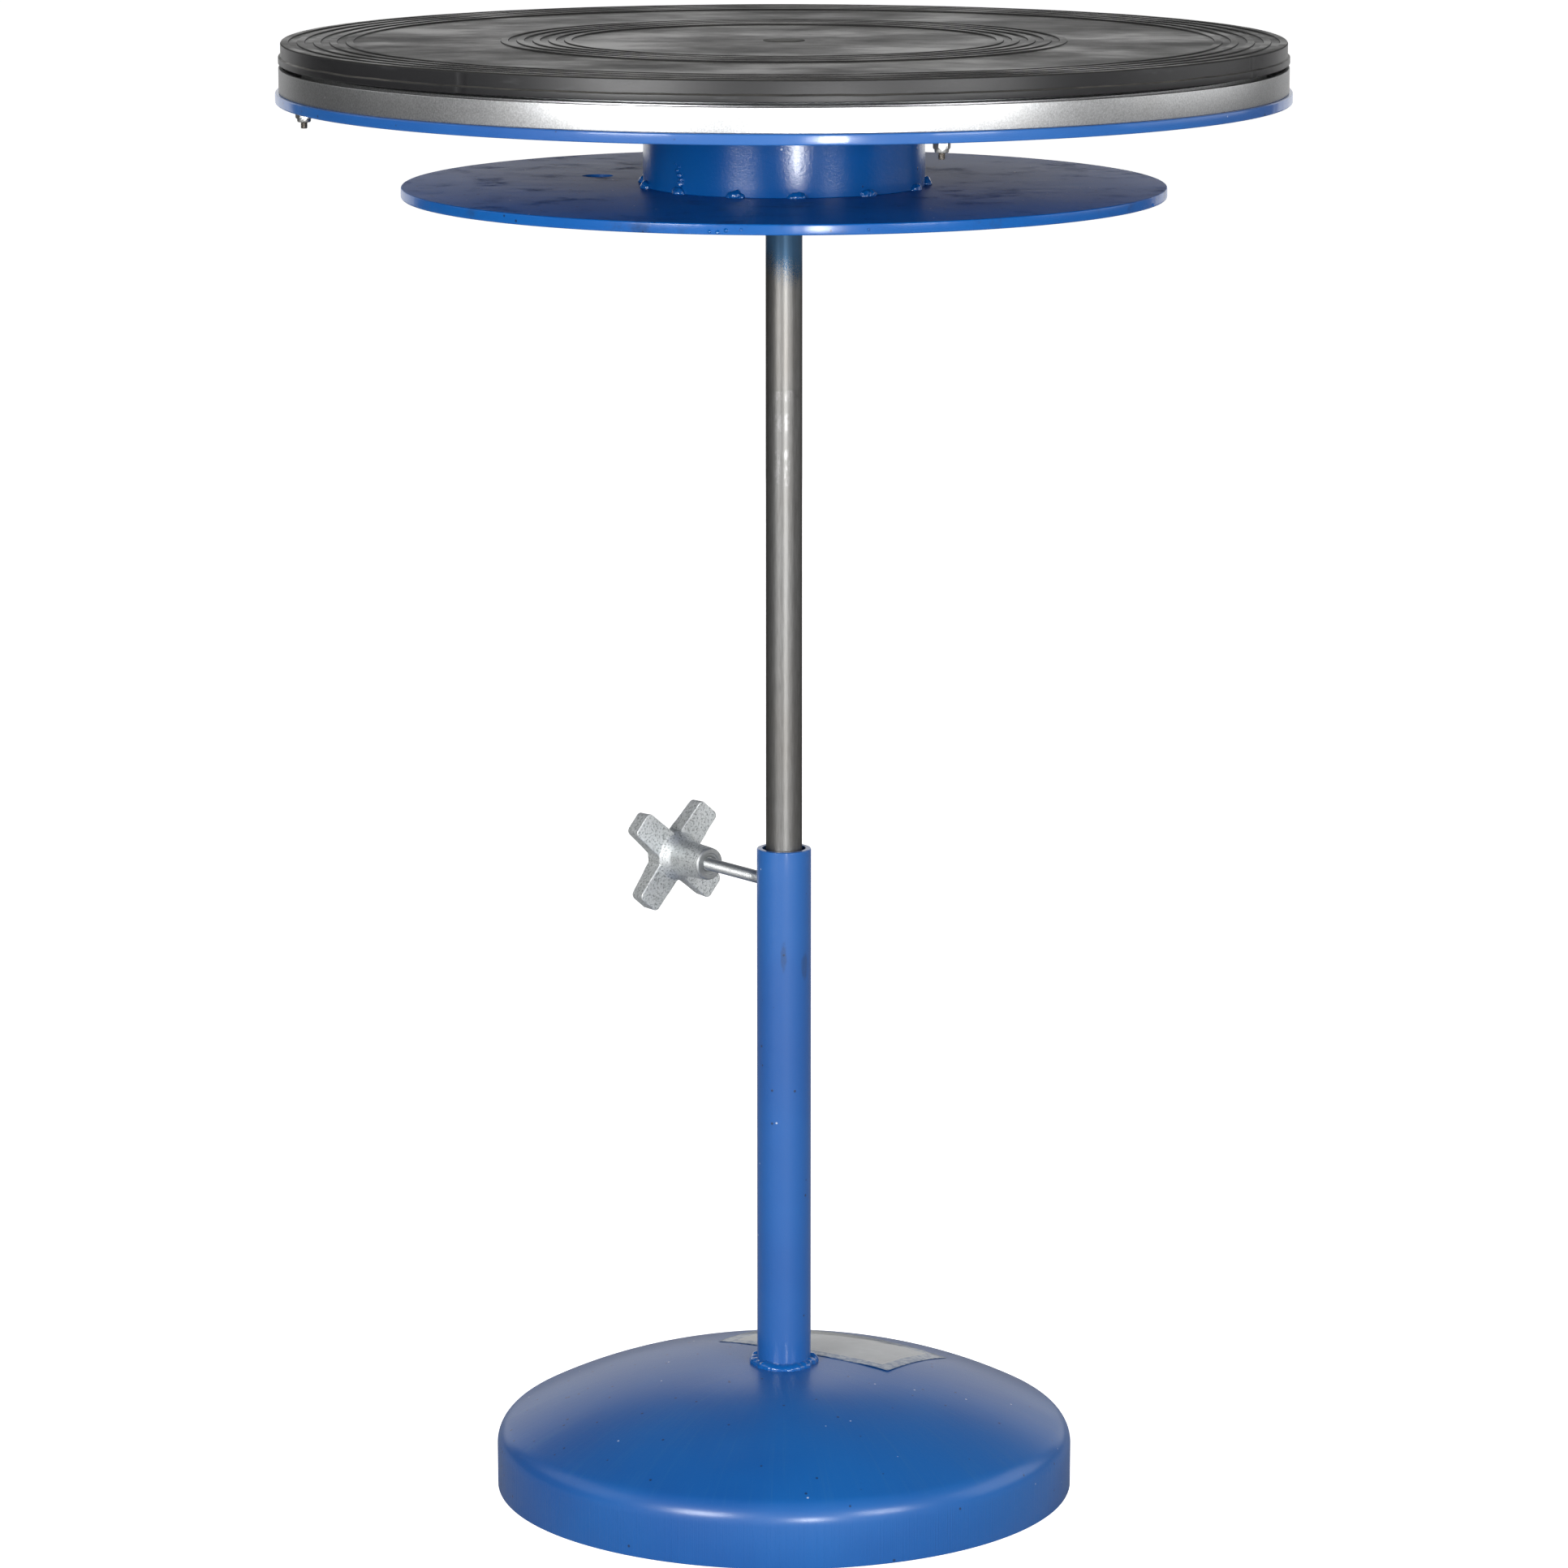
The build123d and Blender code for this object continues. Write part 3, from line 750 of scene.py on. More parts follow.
def rough_round(turn, size, seed):
    """Smooth uneven noise that closes on itself round a circle, from about -1 to 1."""
    spot = Vector((math.cos(turn) * size, math.sin(turn) * size, seed))
    return noise.noise(spot) + 0.5 * noise.noise(spot * 2.7)


def joined(name, meshes):
    """Several meshes as one."""
    work = bmesh.new()
    for mesh in meshes:
        work.from_mesh(mesh)
        bpy.data.meshes.remove(mesh)
    mesh = bpy.data.meshes.new(name)
    work.to_mesh(mesh)
    work.free()
    return mesh


def moved(mesh, matrix):
    mesh.transform(matrix)
    return mesh


# Screw thread: places along one pitch, and how deep the thread is at each.
THREAD_FORM = [(0.0, 0.0), (0.14, 0.0), (0.5, 1.0), (0.64, 1.0)]


def thread(name, radius, depth, pitch, length, start=0.0, steps=28):
    """A threaded rod along +Z from start, its crest running round it as one helix."""
    chamfer = radius - depth * 1.25
    turns = math.ceil(length / pitch) + 1
    rows = [(k + place, deep) for k in range(-1, turns) for place, deep in THREAD_FORM]
    points = []
    for place, deep in rows:
        for step in range(steps):
            height = min(max(pitch * (place + step / steps), 0), length)
            size = min(radius - depth * deep, chamfer + height, chamfer + length - height)
            points.append(polar(size, TURN * step / steps, start + height))
    faces = []
    form = len(THREAD_FORM)
    for row in range(len(rows) - 1):
        for step in range(steps - 1):
            here = row * steps + step
            faces.append((here, here + 1, here + steps + 1, here + steps))
        last, first = row * steps + steps - 1, (row + form) * steps
        if row + form + 1 < len(rows):
            faces.append((last, first, first + steps, last + steps))
    mesh = mesh_from(name, points, faces, sharp=50)
    work = bmesh.new()
    work.from_mesh(mesh)
    flat = [face for face in work.faces if face.calc_area() < 1e-14]
    bmesh.ops.delete(work, geom=flat, context="FACES")
    rims = [edge for edge in work.edges if edge.is_boundary]
    bmesh.ops.holes_fill(work, edges=rims)
    bmesh.ops.recalc_face_normals(work, faces=work.faces)
    work.to_mesh(mesh)
    work.free()
    return mesh


# ------------------------------------------------------------------ base

BASE_WALL = 6.35 * MM
CROWN_ARC = 1.25
SHOULDER_ARC = 0.292
KNUCKLE = 0.017
CROWN_EDGE = 0.042
FOOT_EASE = 0.7 * MM
SKIRT_HEIGHT = 0.04
OUT_OF_ROUND = 0.3 * MM
FOOT_WELD = 4.6 * MM
ROD_WELD = 5.0 * MM

# The crown of the whole arc: the dome's box stops at the hole for the tube, a little lower.
CROWN_TOP = CROWN + CROWN_ARC - math.sqrt(CROWN_ARC**2 - inner_reach("base_dome") ** 2)

LABEL_TURN = math.radians(-32)
LABEL_LIFT = 0.00012
LABEL_BUBBLES = 0.00028
LABEL_FILM = 0.0001
CURL = 0.0005


def dome_height(distance, offset=0.0):
    """Height of the dome's skin at a distance from the axis, or of a skin inside it by offset."""
    lean = math.acos(CROWN_EDGE / CROWN_ARC)
    crown = CROWN_TOP - CROWN_ARC
    inward = CROWN_ARC - SHOULDER_ARC
    shoulder = (inward * math.cos(lean), crown + inward * math.sin(lean))
    knuckle_x = BASE_RADIUS - KNUCKLE
    rise = math.sqrt((SHOULDER_ARC - KNUCKLE) ** 2 - (knuckle_x - shoulder[0]) ** 2)
    knuckle = (knuckle_x, shoulder[1] + rise)
    bend = math.atan2(rise, knuckle_x - shoulder[0])
    for centre, size, start in (
        ((0, crown), CROWN_ARC - offset, lean),
        (shoulder, SHOULDER_ARC - offset, bend),
        (knuckle, KNUCKLE - offset, 0),
    ):
        if distance <= centre[0] + size * math.cos(start) + 1e-9:
            return centre[1] + math.sqrt(max(0.0, size**2 - (distance - centre[0]) ** 2))
    return 0.0


def skin(inner, offset, steps=64):
    """Points down a skin of the dome from the tube's hole to the foot, close together at the knuckle."""
    outer = BASE_RADIUS - offset
    spots = []
    for step in range(steps + 1):
        share = math.sin(step / steps * math.pi / 2)
        distance = inner + (outer - inner) * share
        spots.append((distance, dome_height(distance, offset)))
    return spots


def pressed_dome(paint):
    hole = inner_reach("base_dome")
    outside = skin(hole, 0)
    inside = skin(hole, BASE_WALL)
    foot = [
        (BASE_RADIUS, FOOT_EASE),
        (BASE_RADIUS - FOOT_EASE * 0.3, FOOT_EASE * 0.3),
        (BASE_RADIUS - FOOT_EASE, 0),
        (BASE_RADIUS - BASE_WALL + FOOT_EASE, 0),
        (BASE_RADIUS - BASE_WALL, FOOT_EASE),
    ]
    outline = outside + foot + inside[::-1]

    def pressed(turn, distance, height):
        """The skirt is a hair out of round, inward only."""
        low_down = max(0.0, 1 - height / SKIRT_HEIGHT)
        wave = 0.5 + 0.5 * rough_round(turn, 1.5, 3.0)
        return distance - low_down * wave * OUT_OF_ROUND, height

    mesh = turned("pressed_dome", outline, steps=320, warp=pressed, sharp=50)
    return add_piece(mesh, "base", paint, ["base_dome"])


def pipe_column(paint):
    """The base tube: a sawn pipe with its edges eased."""
    outline = upright("base_tube", TUBE_BORE, TUBE_RADIUS, 0.4 * MM, 0.6 * MM, 0.25 * MM, rows=24)
    mesh = turned("pipe_column", outline, steps=128)
    return add_piece(mesh, "base", paint, ["base_tube"])


def fillet_weld(name, body, paint, node, radius, root, leg, seed, upside_down=False):
    """A hand-laid bead round a pipe, laid wider and flatter at the front.

    root gives the height of the plate at a distance from the axis, and leg is the bead's mean size.
    """
    sections, across = 240, 14
    sink = 0.3 * MM if upside_down else -0.3 * MM
    points = []
    for step in range(sections):
        turn = TURN * step / sections
        lobe = math.exp(-((math.remainder(turn - FRONT, TURN) / 0.6) ** 4))
        wander = 0.5 * rough_round(turn, 1.6, seed) + 0.1 * rough_round(turn, 5.5, seed + 9)
        wide = leg * (0.85 + wander + 0.35 * lobe)
        tall = leg * (0.95 + 0.4 * rough_round(turn, 2.0, seed + 4) - 0.3 * lobe)
        ripple = 0.02 * leg * math.sin(turn * 21 + 5 * rough_round(turn, 1.5, seed + 2)) * (1 - lobe)
        for row in range(across + 1):
            angle = row / across * math.pi / 2
            out = wide * math.cos(angle) ** 0.8
            up = tall * math.sin(angle) ** 0.8
            swell = ripple * math.sin(2 * angle)
            distance = radius + out + swell
            height = up + swell
            height = root(distance) - height if upside_down else root(distance) + height
            points.append(polar(distance, turn, height))
        inner, outer = radius - 0.2 * MM, math.hypot(*points[-across - 1][:2])
        buried = [(inner, points[-1][2]), (inner, root(radius) + sink), (outer, root(outer) + sink)]
        points += [polar(distance, turn, height) for distance, height in buried]
    mesh = mesh_from(name, points, round_faces(sections, across + 4), sharp=60)
    return add_piece(mesh, body, paint, [node])


LUMPINESS = 0.22


def blob(size, seed, flatten=(1, 1, 1)):
    """A lump of weld metal or paint: a ball pushed about by noise."""
    work = bmesh.new()
    bmesh.ops.create_icosphere(work, subdivisions=4, radius=1)
    for vertex in work.verts:
        out = vertex.co.normalized()
        bump = noise.noise(out * 1.3 + Vector((seed, 0, 0)))
        bump += 0.4 * noise.noise(out * 3.1 + Vector((0, seed, 0)))
        grown = out * size * (1 + LUMPINESS * bump)
        vertex.co = (grown.x * flatten[0], grown.y * flatten[1], grown.z * flatten[2])
    mesh = bpy.data.meshes.new("blob")
    work.to_mesh(mesh)
    work.free()
    mesh.shade_smooth()
    return mesh


def label(film_for):
    """The film follows the dome, bubbles a little, and has lifted at its front corner."""
    solid = corners("base_label")
    along = Vector((math.cos(LABEL_TURN), math.sin(LABEL_TURN), 0))
    across = Vector((-along.y, along.x, 0))

    def middle_and_half(direction):
        """Where the middle of the CAD label lies in one direction, and its half size that way."""
        spots = [point.dot(direction) for point in solid]
        return (min(spots) + max(spots)) / 2, (max(spots) - min(spots)) / 2

    middle_along, half_length = middle_and_half(along)
    middle_across, half_width = middle_and_half(across)
    columns, rows = 100, 60
    points = []
    for column in range(columns + 1):
        for row in range(rows + 1):
            u = (column / columns * 2 - 1) * half_length
            v = (row / rows * 2 - 1) * half_width
            spot = along * (middle_along + u) + across * (middle_across + v)
            bubble = 0.5 + 0.5 * noise.noise(Vector((u * 70, v * 70, 5)))
            height = dome_height(math.hypot(spot.x, spot.y)) + LABEL_LIFT + LABEL_BUBBLES * bubble
            toward_front = max(0.0, u / half_length) * max(0.0, -v / half_width)
            height += CURL * toward_front**3
            points.append((spot.x, spot.y, height))
    stride = rows + 1
    faces = [
        (c * stride + r, (c + 1) * stride + r, (c + 1) * stride + r + 1, c * stride + r + 1)
        for c in range(columns)
        for r in range(rows)
    ]
    mesh = mesh_from("label", points, faces)
    film = film_for(across, along, along * middle_along + across * middle_across)
    piece = add_piece(mesh, "base", film, ["base_label"])
    sheet = piece.modifiers.new("thickness", "SOLIDIFY")
    sheet.thickness = LABEL_FILM
    sheet.offset = 0
    settle(piece)


# ------------------------------------------------------------------ rod and welded spool

EDGE = 0.9 * MM
CUT_WANDER = 0.3 * MM
HUB_PULL = 0.25 * MM
TACK_SIZE = 5.4 * MM

# Beads of spatter up the hub above one tack: sideways, up, and their size.
SPATTER = [
    (1.0 * MM, 6.0 * MM, 2.2 * MM),
    (2.2 * MM, 8.6 * MM, 1.6 * MM),
    (0.6 * MM, 11.0 * MM, 1.9 * MM),
    (-1.6 * MM, 13.6 * MM, 1.3 * MM),
    (0.2 * MM, 16.0 * MM, 1.0 * MM),
    (-3.0 * MM, 17.5 * MM, 0.7 * MM),
]
SPATTER_TURN = FRONT + math.radians(-48)
DROSS_TURNS = [
    FRONT + math.radians(turn) for turn in (-10.6, -9.4, -8.2, -6.1, 12, 71, 138, -95, -150)
]


def plate(name, node, paint, bore, seed):
    """A flame-cut disc: rounded edges and a rim that wanders a little, inward only."""
    radius = reach(node)

    def cut(turn, distance, height):
        if distance < radius - 2 * EDGE:
            return distance, height
        wander = 0.5 + 0.5 * rough_round(turn, 7, seed) * 0.6
        notch = max(0.0, rough_round(turn, 42, seed + 7)) ** 2
        return distance - CUT_WANDER * (wander + 0.7 * notch), height

    mesh = turned(name, upright(node, bore, radius, EDGE, EDGE), steps=720, warp=cut)
    return add_piece(mesh, "column", paint, [node])


def pierce(piece, place, radius):
    """Drills a round hole straight down through a plate."""
    drill = turned("drill", [(0, -1), (radius, -1), (radius, 1), (0, 1)], steps=64)
    drill.transform(Matrix.Translation((place[0], place[1], high("lower_disc").z)))
    cutter = bpy.data.objects.new("drill", drill)
    bpy.context.scene.collection.objects.link(cutter)
    cut = piece.modifiers.new("hole", "BOOLEAN")
    cut.object = cutter
    cut.operation = "DIFFERENCE"
    cut.solver = "EXACT"
    settle(piece)
    bpy.data.objects.remove(cutter)
    piece.data.shade_smooth()
    piece.data.set_sharp_from_angle(angle=math.radians(40))


def hub(paint):
    """A slice of pipe, rolled a hair out of round where its tacks pulled it."""
    outline = upright("hub_pipe", inner_reach("hub_pipe"), HUB_RADIUS, 0.5 * MM, 0.5 * MM, rows=8)

    def pulled(turn, distance, height):
        return distance - HUB_PULL * (0.5 + 0.5 * rough_round(turn, 2, 21)), height

    mesh = turned("hub", outline, steps=288, warp=pulled)
    return add_piece(mesh, "column", paint, ["hub_pipe"])


def tack_welds(name, node, paint, height, up):
    """Short tacks where the hub meets a plate: up is 1 on the lower one and -1 under the upper one."""
    lumps = []
    for count, turn in enumerate(angles_of(node)):
        draw = random.Random(100 * up + count)
        for part in range(3):
            swing = turn + (part - 1) * draw.uniform(0.016, 0.03)
            size = TACK_SIZE * draw.uniform(0.62, 0.9) * (1.0 if part == 1 else 0.78)
            lump = blob(size, draw.uniform(0, 50), flatten=(0.85, 1.15, 0.95))
            place = Vector(polar(HUB_RADIUS + 0.3 * MM, swing, height + up * 0.4 * MM))
            lumps.append(moved(lump, Matrix.Translation(place) @ Matrix.Rotation(swing, 4, "Z")))
    if up > 0:
        below = min(angles_of(node), key=lambda turn: abs(turn - SPATTER_TURN))
        for count, (side, rise, size) in enumerate(SPATTER):
            place = Vector(polar(HUB_RADIUS, below + side / HUB_RADIUS, height + rise))
            lumps.append(moved(blob(size, 70 + count), Matrix.Translation(place)))
    mesh = joined(name, [clear_of_plates(lump, height, up) for lump in lumps])
    mesh.shade_smooth()
    return add_piece(mesh, "column", paint, [node])


def clear_of_plates(lump, height, up):
    """Cuts away what would stand inside the plate."""
    work = bmesh.new()
    work.from_mesh(lump)
    bmesh.ops.bisect_plane(
        work,
        geom=work.verts[:] + work.edges[:] + work.faces[:],
        plane_co=(0, 0, height - up * 0.1 * MM),
        plane_no=(0, 0, -up),
        clear_outer=True,
    )
    bmesh.ops.holes_fill(work, edges=[edge for edge in work.edges if edge.is_boundary])
    work.to_mesh(lump)
    work.free()
    return lump


def edge_dross(paint):
    """Small drops of dross and paint left on the lower disc's rim."""
    drops = []
    draw = random.Random(7)
    middle = (low("lower_disc").z + high("lower_disc").z) / 2
    for count, turn in enumerate(DROSS_TURNS):
        size = draw.uniform(0.9, 1.6) * MM
        height = middle + draw.uniform(-1, 1) * 1.8 * MM
        place = Vector(polar(DISC_RADIUS - size * 0.45, turn, height))
        drops.append(moved(blob(size, count * 3.1), Matrix.Translation(place)))
    mesh = joined("disc_dross", drops)
    mesh.shade_smooth()
    add_piece(mesh, "column", paint)


def rod(steel):
    mesh = turned("rod", upright("column_rod", 0, ROD_RADIUS, 1.5 * MM, 0.2 * MM, rows=40), steps=96)
    return add_piece(mesh, "column", steel, ["column_rod"])


# ------------------------------------------------------------------ bearing ring and fasteners

RING_SECTION = [
    (281.0, 0.0, 0.3),
    (302.6, 0.0, 0.4),
    (302.6, 14.65, 0.5),
    (300.1, 14.65, 0.5),
    (300.1, 3.4, 0.8),
    (288.9, 3.4, 0.8),
    (288.9, 14.65, 0.4),
    (281.0, 14.65, 0.4),
    (281.0, 11.6, 0.0),
    (282.8, 9.8, 0.0),
    (282.8, 7.9, 0.0),
    (281.0, 6.1, 0.0),
]
RING_WANDER = 0.12 * MM


def in_metres(rows):
    """Turns rows of millimetres into rows of metres."""
    return [tuple(value * MM for value in row) for row in rows]


def bearing_ring(metal):
    """The rolled ring seen as the bright band: an outer wall, a floor and the inner race."""
    bottom = low("fixed_ring").z
    outline = eased([(radius, bottom + height, ease) for radius, height, ease in in_metres(RING_SECTION)])

    def rolled(turn, distance, height):
        return distance - RING_WANDER * (0.5 + 0.5 * rough_round(turn, 3, 33)), height

    mesh = turned("bearing_ring", outline, steps=480, warp=rolled)
    return add_piece(mesh, "column", metal, ["fixed_ring"])


# The locknut below its plate: height, radius there, and whether the hexagon's flats cut into it.
NUT_FLATS = 8.73 * MM
NUT_LEVELS = [
    (0.0, 4.25, True),
    (-0.45, 5.15, True),
    (-3.2, 5.15, True),
    (-3.9, 4.5, True),
    (-4.0, 4.1, False),
    (-5.2, 4.05, False),
    (-5.8, 3.75, False),
    (-6.0, 3.3, False),
]
NUT_BORE = [(3.2, -6.0), (2.2, 0.0)]
NUT_TURNS = [0.35, 0.9, 0.1, 0.55]
INSERT_LEVELS = [(2.10, -4.6), (3.22, -4.6), (3.22, -5.88), (3.0, -6.02), (2.4, -6.05), (2.10, -5.9)]

SCREW_RADIUS = 2.083 * MM
SCREW_PITCH = 25.4 / 32 * MM
SCREW_DEPTH = 0.38 * MM
HEAD_HEIGHT = 2.4
HEAD_SECTION = [(0, 0, 0), (3.9, 0, 0.2), (3.9, 1.2, 0.6), (3.1, HEAD_HEIGHT, 1.4), (0, HEAD_HEIGHT, 0)]


def locknut(turn):
    """A hexagon whose corners are turned off at both ends, with a rolled collar below it."""
    steps = 96
    points = []
    for step in range(steps):
        angle = TURN * step / steps
        wrapped = (angle + math.pi / 6) % (math.pi / 3) - math.pi / 6
        flat = NUT_FLATS / 2 / math.cos(wrapped)
        for height, cone, hexagonal in NUT_LEVELS:
            size = min(flat, cone * MM) if hexagonal else cone * MM
            points.append(polar(size, angle + turn, height * MM))
        points += [polar(bore, angle + turn, height) for bore, height in in_metres(NUT_BORE)]
    faces = round_faces(steps, len(NUT_LEVELS) + len(NUT_BORE))
    return mesh_from("locknut", points, faces, sharp=28)


def ring_fasteners(nut_zinc, dull_zinc, nylon):
    """Four pan head screws down through the ring, each with a nylon insert locknut under the plate."""
    under_plate = low("upper_plate").z
    head_seat = high("ring_screws").z - HEAD_HEIGHT * MM
    tip = low("ring_screws").z
    circle = (reach("ring_locknuts") + inner_reach("ring_locknuts")) / 2
    nuts, inserts, screws = [], [], []
    for count, turn in enumerate(angles_of("ring_locknuts", gap=math.radians(20))):
        lift = Matrix.Translation(polar(circle, turn, under_plate))
        nuts.append(moved(locknut(turn + NUT_TURNS[count]), lift))
        inserts.append(moved(turned("insert", in_metres(INSERT_LEVELS), steps=48), lift))
        shank = thread("shank", SCREW_RADIUS, SCREW_DEPTH, SCREW_PITCH, head_seat - tip, start=tip)
        screws.append(moved(shank, Matrix.Translation(polar(circle, turn))))
        head = turned("head", eased(in_metres(HEAD_SECTION)), steps=48)
        screws.append(moved(head, Matrix.Translation(polar(circle, turn, head_seat))))
    add_piece(joined("locknuts", nuts), "column", nut_zinc, ["ring_locknuts"])
    add_piece(joined("nut_inserts", inserts), "column", nylon)
    add_piece(joined("screws", screws), "column", dull_zinc, ["ring_screws"])


# ------------------------------------------------------------------ turning top

RIB_WIDTH = 4.1 * MM
RIB_FLANK = 0.35 * MM
RIB_EASE = 0.35 * MM
OUTER_RIBS = [(288.9 - 9.7 * count) * MM for count in range(4)]
INNER_RIBS = [(167.4 - 9.5 * count) * MM for count in range(5)]
RIM_INNER = 296.6 * MM
RIB_HEIGHT = 1.0 * MM
PAD_RADIUS = 12.3 * MM
PAD_HEIGHT = 0.4 * MM
LIP_TOP = 3.9 * MM
LIP_STEP = 0.7 * MM
LIP_WIDTH = 11.3 * MM
COVER_WALL = 301.4 * MM
COVER_SLACK = 0.4 * MM
LIP_WAVE = 0.3 * MM

# Nicks in the cover's wall: direction, depth and half width.
NICKS = [
    (FRONT + math.radians(-37.0), 0.8 * MM, 0.5 * MM),
    (FRONT + math.radians(64), 0.5 * MM, 1.2 * MM),
    (FRONT + math.radians(170), 0.6 * MM, 0.9 * MM),
]


def rubber_cover(rubber):
    """The moulded cover: eased ribs, a rim, a plain wall, and a thicker lip with a line above it."""
    top, bottom = high("rubber_mat").z, low("rubber_mat").z
    field = top - RIB_HEIGHT
    lip = reach("rubber_mat")
    seat_top, seat_bottom = high("top_plate").z, low("top_plate").z
    seat = reach("top_plate")
    section = [
        (0, seat_top, 0),
        (0, field + PAD_HEIGHT, 0),
        (PAD_RADIUS, field + PAD_HEIGHT, 0.2 * MM),
        (PAD_RADIUS + PAD_HEIGHT, field, 0.2 * MM),
    ]
    for centre in reversed(OUTER_RIBS + INNER_RIBS):
        inner, outer = centre - RIB_WIDTH / 2, centre + RIB_WIDTH / 2
        section += [
            (inner - RIB_FLANK, field, RIB_EASE),
            (inner, top, RIB_EASE),
            (outer, top, RIB_EASE),
            (outer + RIB_FLANK, field, RIB_EASE),
        ]
    section += [
        (RIM_INNER - RIB_FLANK, field, RIB_EASE),
        (RIM_INNER, top, RIB_EASE),
        (COVER_WALL, top, 1.1 * MM),
        (COVER_WALL, bottom + LIP_TOP + LIP_STEP, 0.3 * MM),
        (lip, bottom + LIP_TOP, 0.5 * MM),
        (lip, bottom, 0.6 * MM),
        (lip - LIP_WIDTH, bottom, 0.4 * MM),
        (lip - LIP_WIDTH, seat_bottom, 0),
        (seat, seat_bottom, 0),
        (seat, seat_top, 0),
    ]

    def moulded(turn, distance, height):
        if distance < COVER_WALL - 2 * MM or distance < seat + 1 * MM:
            return distance, height
        distance -= COVER_SLACK * (0.5 + 0.5 * rough_round(turn, 4, 41))
        for place, depth, width in NICKS:
            off = math.remainder(turn - place, TURN) * COVER_WALL
            distance -= depth * math.exp(-((off / width) ** 2))
        if bottom + 2 * MM < height < bottom + LIP_TOP + 2 * MM:
            height += LIP_WAVE * rough_round(turn, 9, 45)
        return distance, height

    mesh = turned("rubber_cover", eased(section, steps=4), steps=720, warp=moulded, sharp=55)
    return add_piece(mesh, "turntable", rubber, ["rubber_mat"])


# ------------------------------------------------------------------ clamp screw

STUD_RADIUS = 3.96 * MM
STUD_PITCH = 25.4 / 18 * MM
STUD_DEPTH = 0.66 * MM


def screw_frame():
    """A frame with +Z out along the clamp screw and its origin on the column's axis."""
    turn = joint("clamp_knob_turn")
    out = Vector(turn["axis"]).normalized()
    side = Vector((-out.y, out.x, 0))
    up = out.cross(side)
    place = Matrix.Translation(Vector((0, 0, turn["pos_m"][2])))
    return place @ Matrix((side, up, out)).transposed().to_4x4()


def along_screw(node):
    """The nearest and furthest reach of a node along the clamp screw."""
    out = Vector(joint("clamp_knob_turn")["axis"]).normalized()
    return [pick(point.dot(out) for point in corners(node)) for pick in (min, max)]


def clamp_stud(zinc):
    near, far = along_screw("clamp_stud")
    mesh = thread("stud", STUD_RADIUS, STUD_DEPTH, STUD_PITCH, far - near, start=near)
    return add_piece(moved(mesh, screw_frame()), "clamp_stud", zinc, ["clamp_stud"])


KNOB_ARMS = 4
KNOB_TURN = math.radians(40.5)
ARM_REACH = 37.5 * MM
ARM_ROOT = 9.6 * MM
ARM_TIP = 8.6 * MM
ARM_CORNER = 3.4 * MM
ARM_DEPTH_ROOT = 14.5 * MM
ARM_DEPTH_TIP = 10.5 * MM
ARM_DRAFT = 0.93
BOSS_LENGTH = 32 * MM
BOSS_RADIUS = 10.2 * MM
BOSS_ROOT = 11.4 * MM
BOSS_HEAD = BOSS_ROOT + 4.2 * MM
BOSS_CAST_END = 1.44 * MM
KNOB_BORE = 4.05 * MM
TURNED_RIM = BOSS_RADIUS - 0.12 * MM
CASTING_GRAIN = 0.42 * MM


def knob_arm_outline():
    """Half widths along one arm: a slow taper that ends in a blunt, rounded tip."""
    side = [(0, ARM_ROOT), (ARM_REACH * 0.3, ARM_ROOT * 0.97), (ARM_REACH * 0.62, ARM_ROOT * 0.92)]
    tip = []
    for step in range(7):
        angle = step / 6 * math.pi / 2
        tip.append((
            ARM_REACH - ARM_CORNER * (1 - math.sin(angle)),
            ARM_TIP - ARM_CORNER * (1 - math.cos(angle)),
        ))
    return side + tip


def knob_arm(face):
    """A closed block for one arm along +X, its flat face at the height face and its back sloping."""
    upper = knob_arm_outline()
    plan = [(x, -y) for x, y in upper] + upper[::-1]
    points = [(x, y, face) for x, y in plan]
    for x, y in plan:
        depth = ARM_DEPTH_ROOT + (ARM_DEPTH_TIP - ARM_DEPTH_ROOT) * x / ARM_REACH
        points.append((x, y * ARM_DRAFT, face + depth))
    count = len(plan)
    faces = [tuple(range(count))[::-1], tuple(range(count, 2 * count))]
    for index in range(count):
        ahead = (index + 1) % count
        faces.append((index, ahead, count + ahead, count + index))
    return mesh_from("arm", points, faces)


def casting_skin(place):
    """How far the as-cast surface stands out at a place: a fine grain and a slow swell."""
    return noise.noise(place * 900) * 0.05 * MM + noise.noise(place * 160) * 0.12 * MM


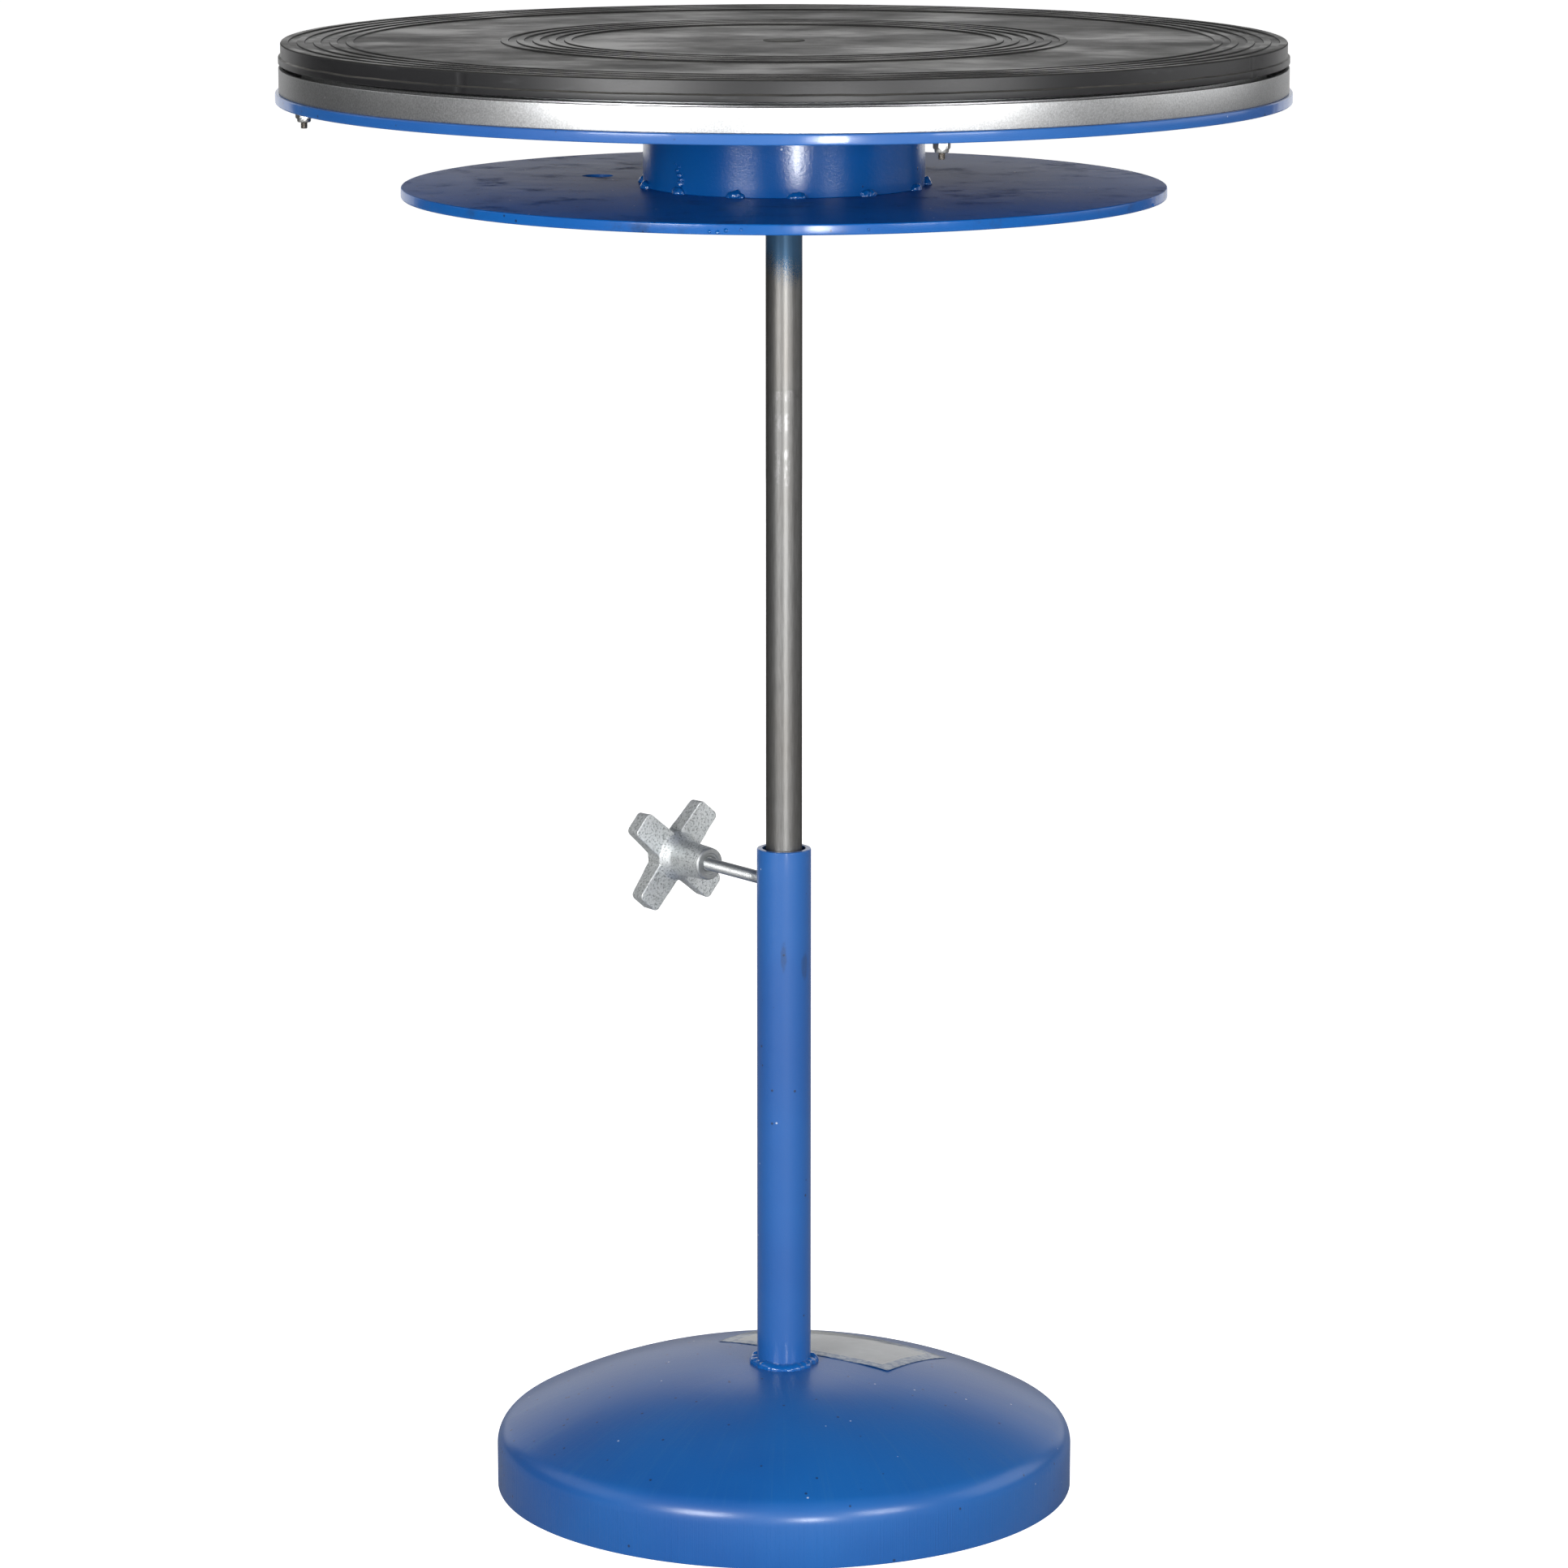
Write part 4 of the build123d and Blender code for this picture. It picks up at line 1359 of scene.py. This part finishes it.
def clamp_knob(casting, bright):
    """The cast knob: arms and boss grown together, smoothed like a casting, with a turned boss end."""
    near, _ = along_screw("clamp_knob")
    face = near + BOSS_LENGTH
    cast_end = near + BOSS_CAST_END
    parts = []
    for count in range(KNOB_ARMS):
        parts.append(moved(knob_arm(face), Matrix.Rotation(TURN * count / KNOB_ARMS, 4, "Z")))
    boss = eased(
        [
            (0, cast_end, 0),
            (BOSS_RADIUS, cast_end, 0.3 * MM),
            (BOSS_ROOT, face - 6 * MM, 3 * MM),
            (BOSS_HEAD, face + 0.4 * MM, 1 * MM),
            (BOSS_HEAD, face + ARM_DEPTH_ROOT - 1 * MM, 3 * MM),
            (0, face + ARM_DEPTH_ROOT + 1.4 * MM, 0),
        ]
    )
    parts.append(turned("boss", boss, steps=96))
    mesh = joined("knob", parts)
    knob = add_piece(mesh, "clamp_knob", casting, ["clamp_knob"])
    melt = knob.modifiers.new("melt", "REMESH")
    melt.mode = "VOXEL"
    melt.voxel_size = CASTING_GRAIN
    smooth = knob.modifiers.new("smooth", "SMOOTH")
    smooth.factor = 0.5
    smooth.iterations = 5
    settle(knob)
    grown = [point.co + point.normal * casting_skin(point.co) for point in knob.data.vertices]
    for point, place in zip(knob.data.vertices, grown):
        point.co = place
    knob.data.transform(Matrix.Rotation(KNOB_TURN, 4, "Z"))
    knob.data.transform(screw_frame())
    knob.data.shade_smooth()
    end = eased(
        [
            (KNOB_BORE, near + 12 * MM, 0),
            (KNOB_BORE, near + 1.7 * MM, 0.2 * MM),
            (5.6 * MM, near + 0.45 * MM, 0.15 * MM),
            (6.6 * MM, near + 0.45 * MM, 0.15 * MM),
            (7.0 * MM, near, 0.15 * MM),
            (BOSS_RADIUS - 1.0 * MM, near, 0.2 * MM),
            (TURNED_RIM, near + 0.9 * MM, 0.2 * MM),
            (TURNED_RIM, near + 3 * MM, 0),
            (BOSS_RADIUS - 3 * MM, near + 12 * MM, 0),
        ],
        steps=3,
    )
    face_mesh = moved(turned("knob_face", end, steps=96, sharp=25), screw_frame())
    add_piece(face_mesh, "clamp_knob", bright)


# ------------------------------------------------------------------ putting it together


def repaint(node, finish):
    """Gives a carried-over CAD node its finish."""
    slots = frame["nodes"][node].material_slots
    for each in slots:
        each.material = finish
    if not slots:
        frame["nodes"][node].data.materials.append(finish)


def build():
    plate_enamel = blue_enamel("blue_enamel")
    dome_enamel = blue_enamel("dome_enamel", press_lines=True, gloss=0.26, shine=0.42, top_coat=0.45)
    disc_enamel = blue_enamel("disc_enamel", gloss=0.2, shine=0.15, top_coat=0.12, soil=0.5)
    weld_paint = weld_enamel()
    zinc = zinc_plate("zinc_plate")
    mill = mill_aluminium()
    ring_metal = ring_aluminium()

    pressed_dome(dome_enamel)
    pipe_column(blue_enamel("tube_enamel", scuffs=TUBE_SCUFFS))
    fillet_weld(
        "foot_weld",
        "base",
        weld_paint,
        "tube_foot_weld",
        TUBE_RADIUS,
        root=dome_height,
        leg=FOOT_WELD,
        seed=2.0,
    )
    label(label_film)

    rod(rod_steel())
    disc_bottom = low("lower_disc").z
    fillet_weld(
        "disc_weld",
        "column",
        weld_paint,
        "rod_weld",
        ROD_RADIUS,
        root=lambda distance: disc_bottom,
        leg=ROD_WELD,
        seed=17.0,
        upside_down=True,
    )
    lower = plate("lower_disc_plate", "lower_disc", disc_enamel, ROD_RADIUS, seed=11)
    hole = next(mount for mount in frame["record"]["mounts"] if mount["name"] == "access_hole")
    pierce(lower, hole["pos_m"], hole["dims"]["r_mm"] * MM)
    hub(blue_enamel("hub_enamel", gloss=0.12, satin=0.2, shine=0.5, coat=0.1, peel_depth=0.00014))
    tack_welds("hub_tacks_low", "hub_lower_tacks", weld_paint, high("lower_disc").z, 1)
    tack_welds("hub_tacks_high", "hub_upper_tacks", weld_paint, low("upper_plate").z, -1)
    plate("upper_disc_plate", "upper_plate", plate_enamel, 0.0, seed=13)
    edge_dross(weld_paint)

    bearing_ring(ring_metal)
    nut_zinc = zinc_plate("nut_zinc", rough=0.3, tarnish=0.25)
    screw_zinc = zinc_plate("screw_zinc", rough=0.38, tarnish=0.8)
    ring_fasteners(nut_zinc, screw_zinc, nut_nylon())
    repaint("turning_ring", mill)
    repaint("top_plate", mill)
    repaint("plate_screws", zinc)
    repaint("bearing_balls", ball_steel())
    repaint("ball_cage", cage_nylon())
    rubber_cover(top_rubber())

    clamp_stud(zinc_plate("stud_zinc", rough=0.36))
    clamp_knob(zinc_casting(), zinc_plate("turned_zinc", rough=0.48))


add_camera()
add_studio()
build()
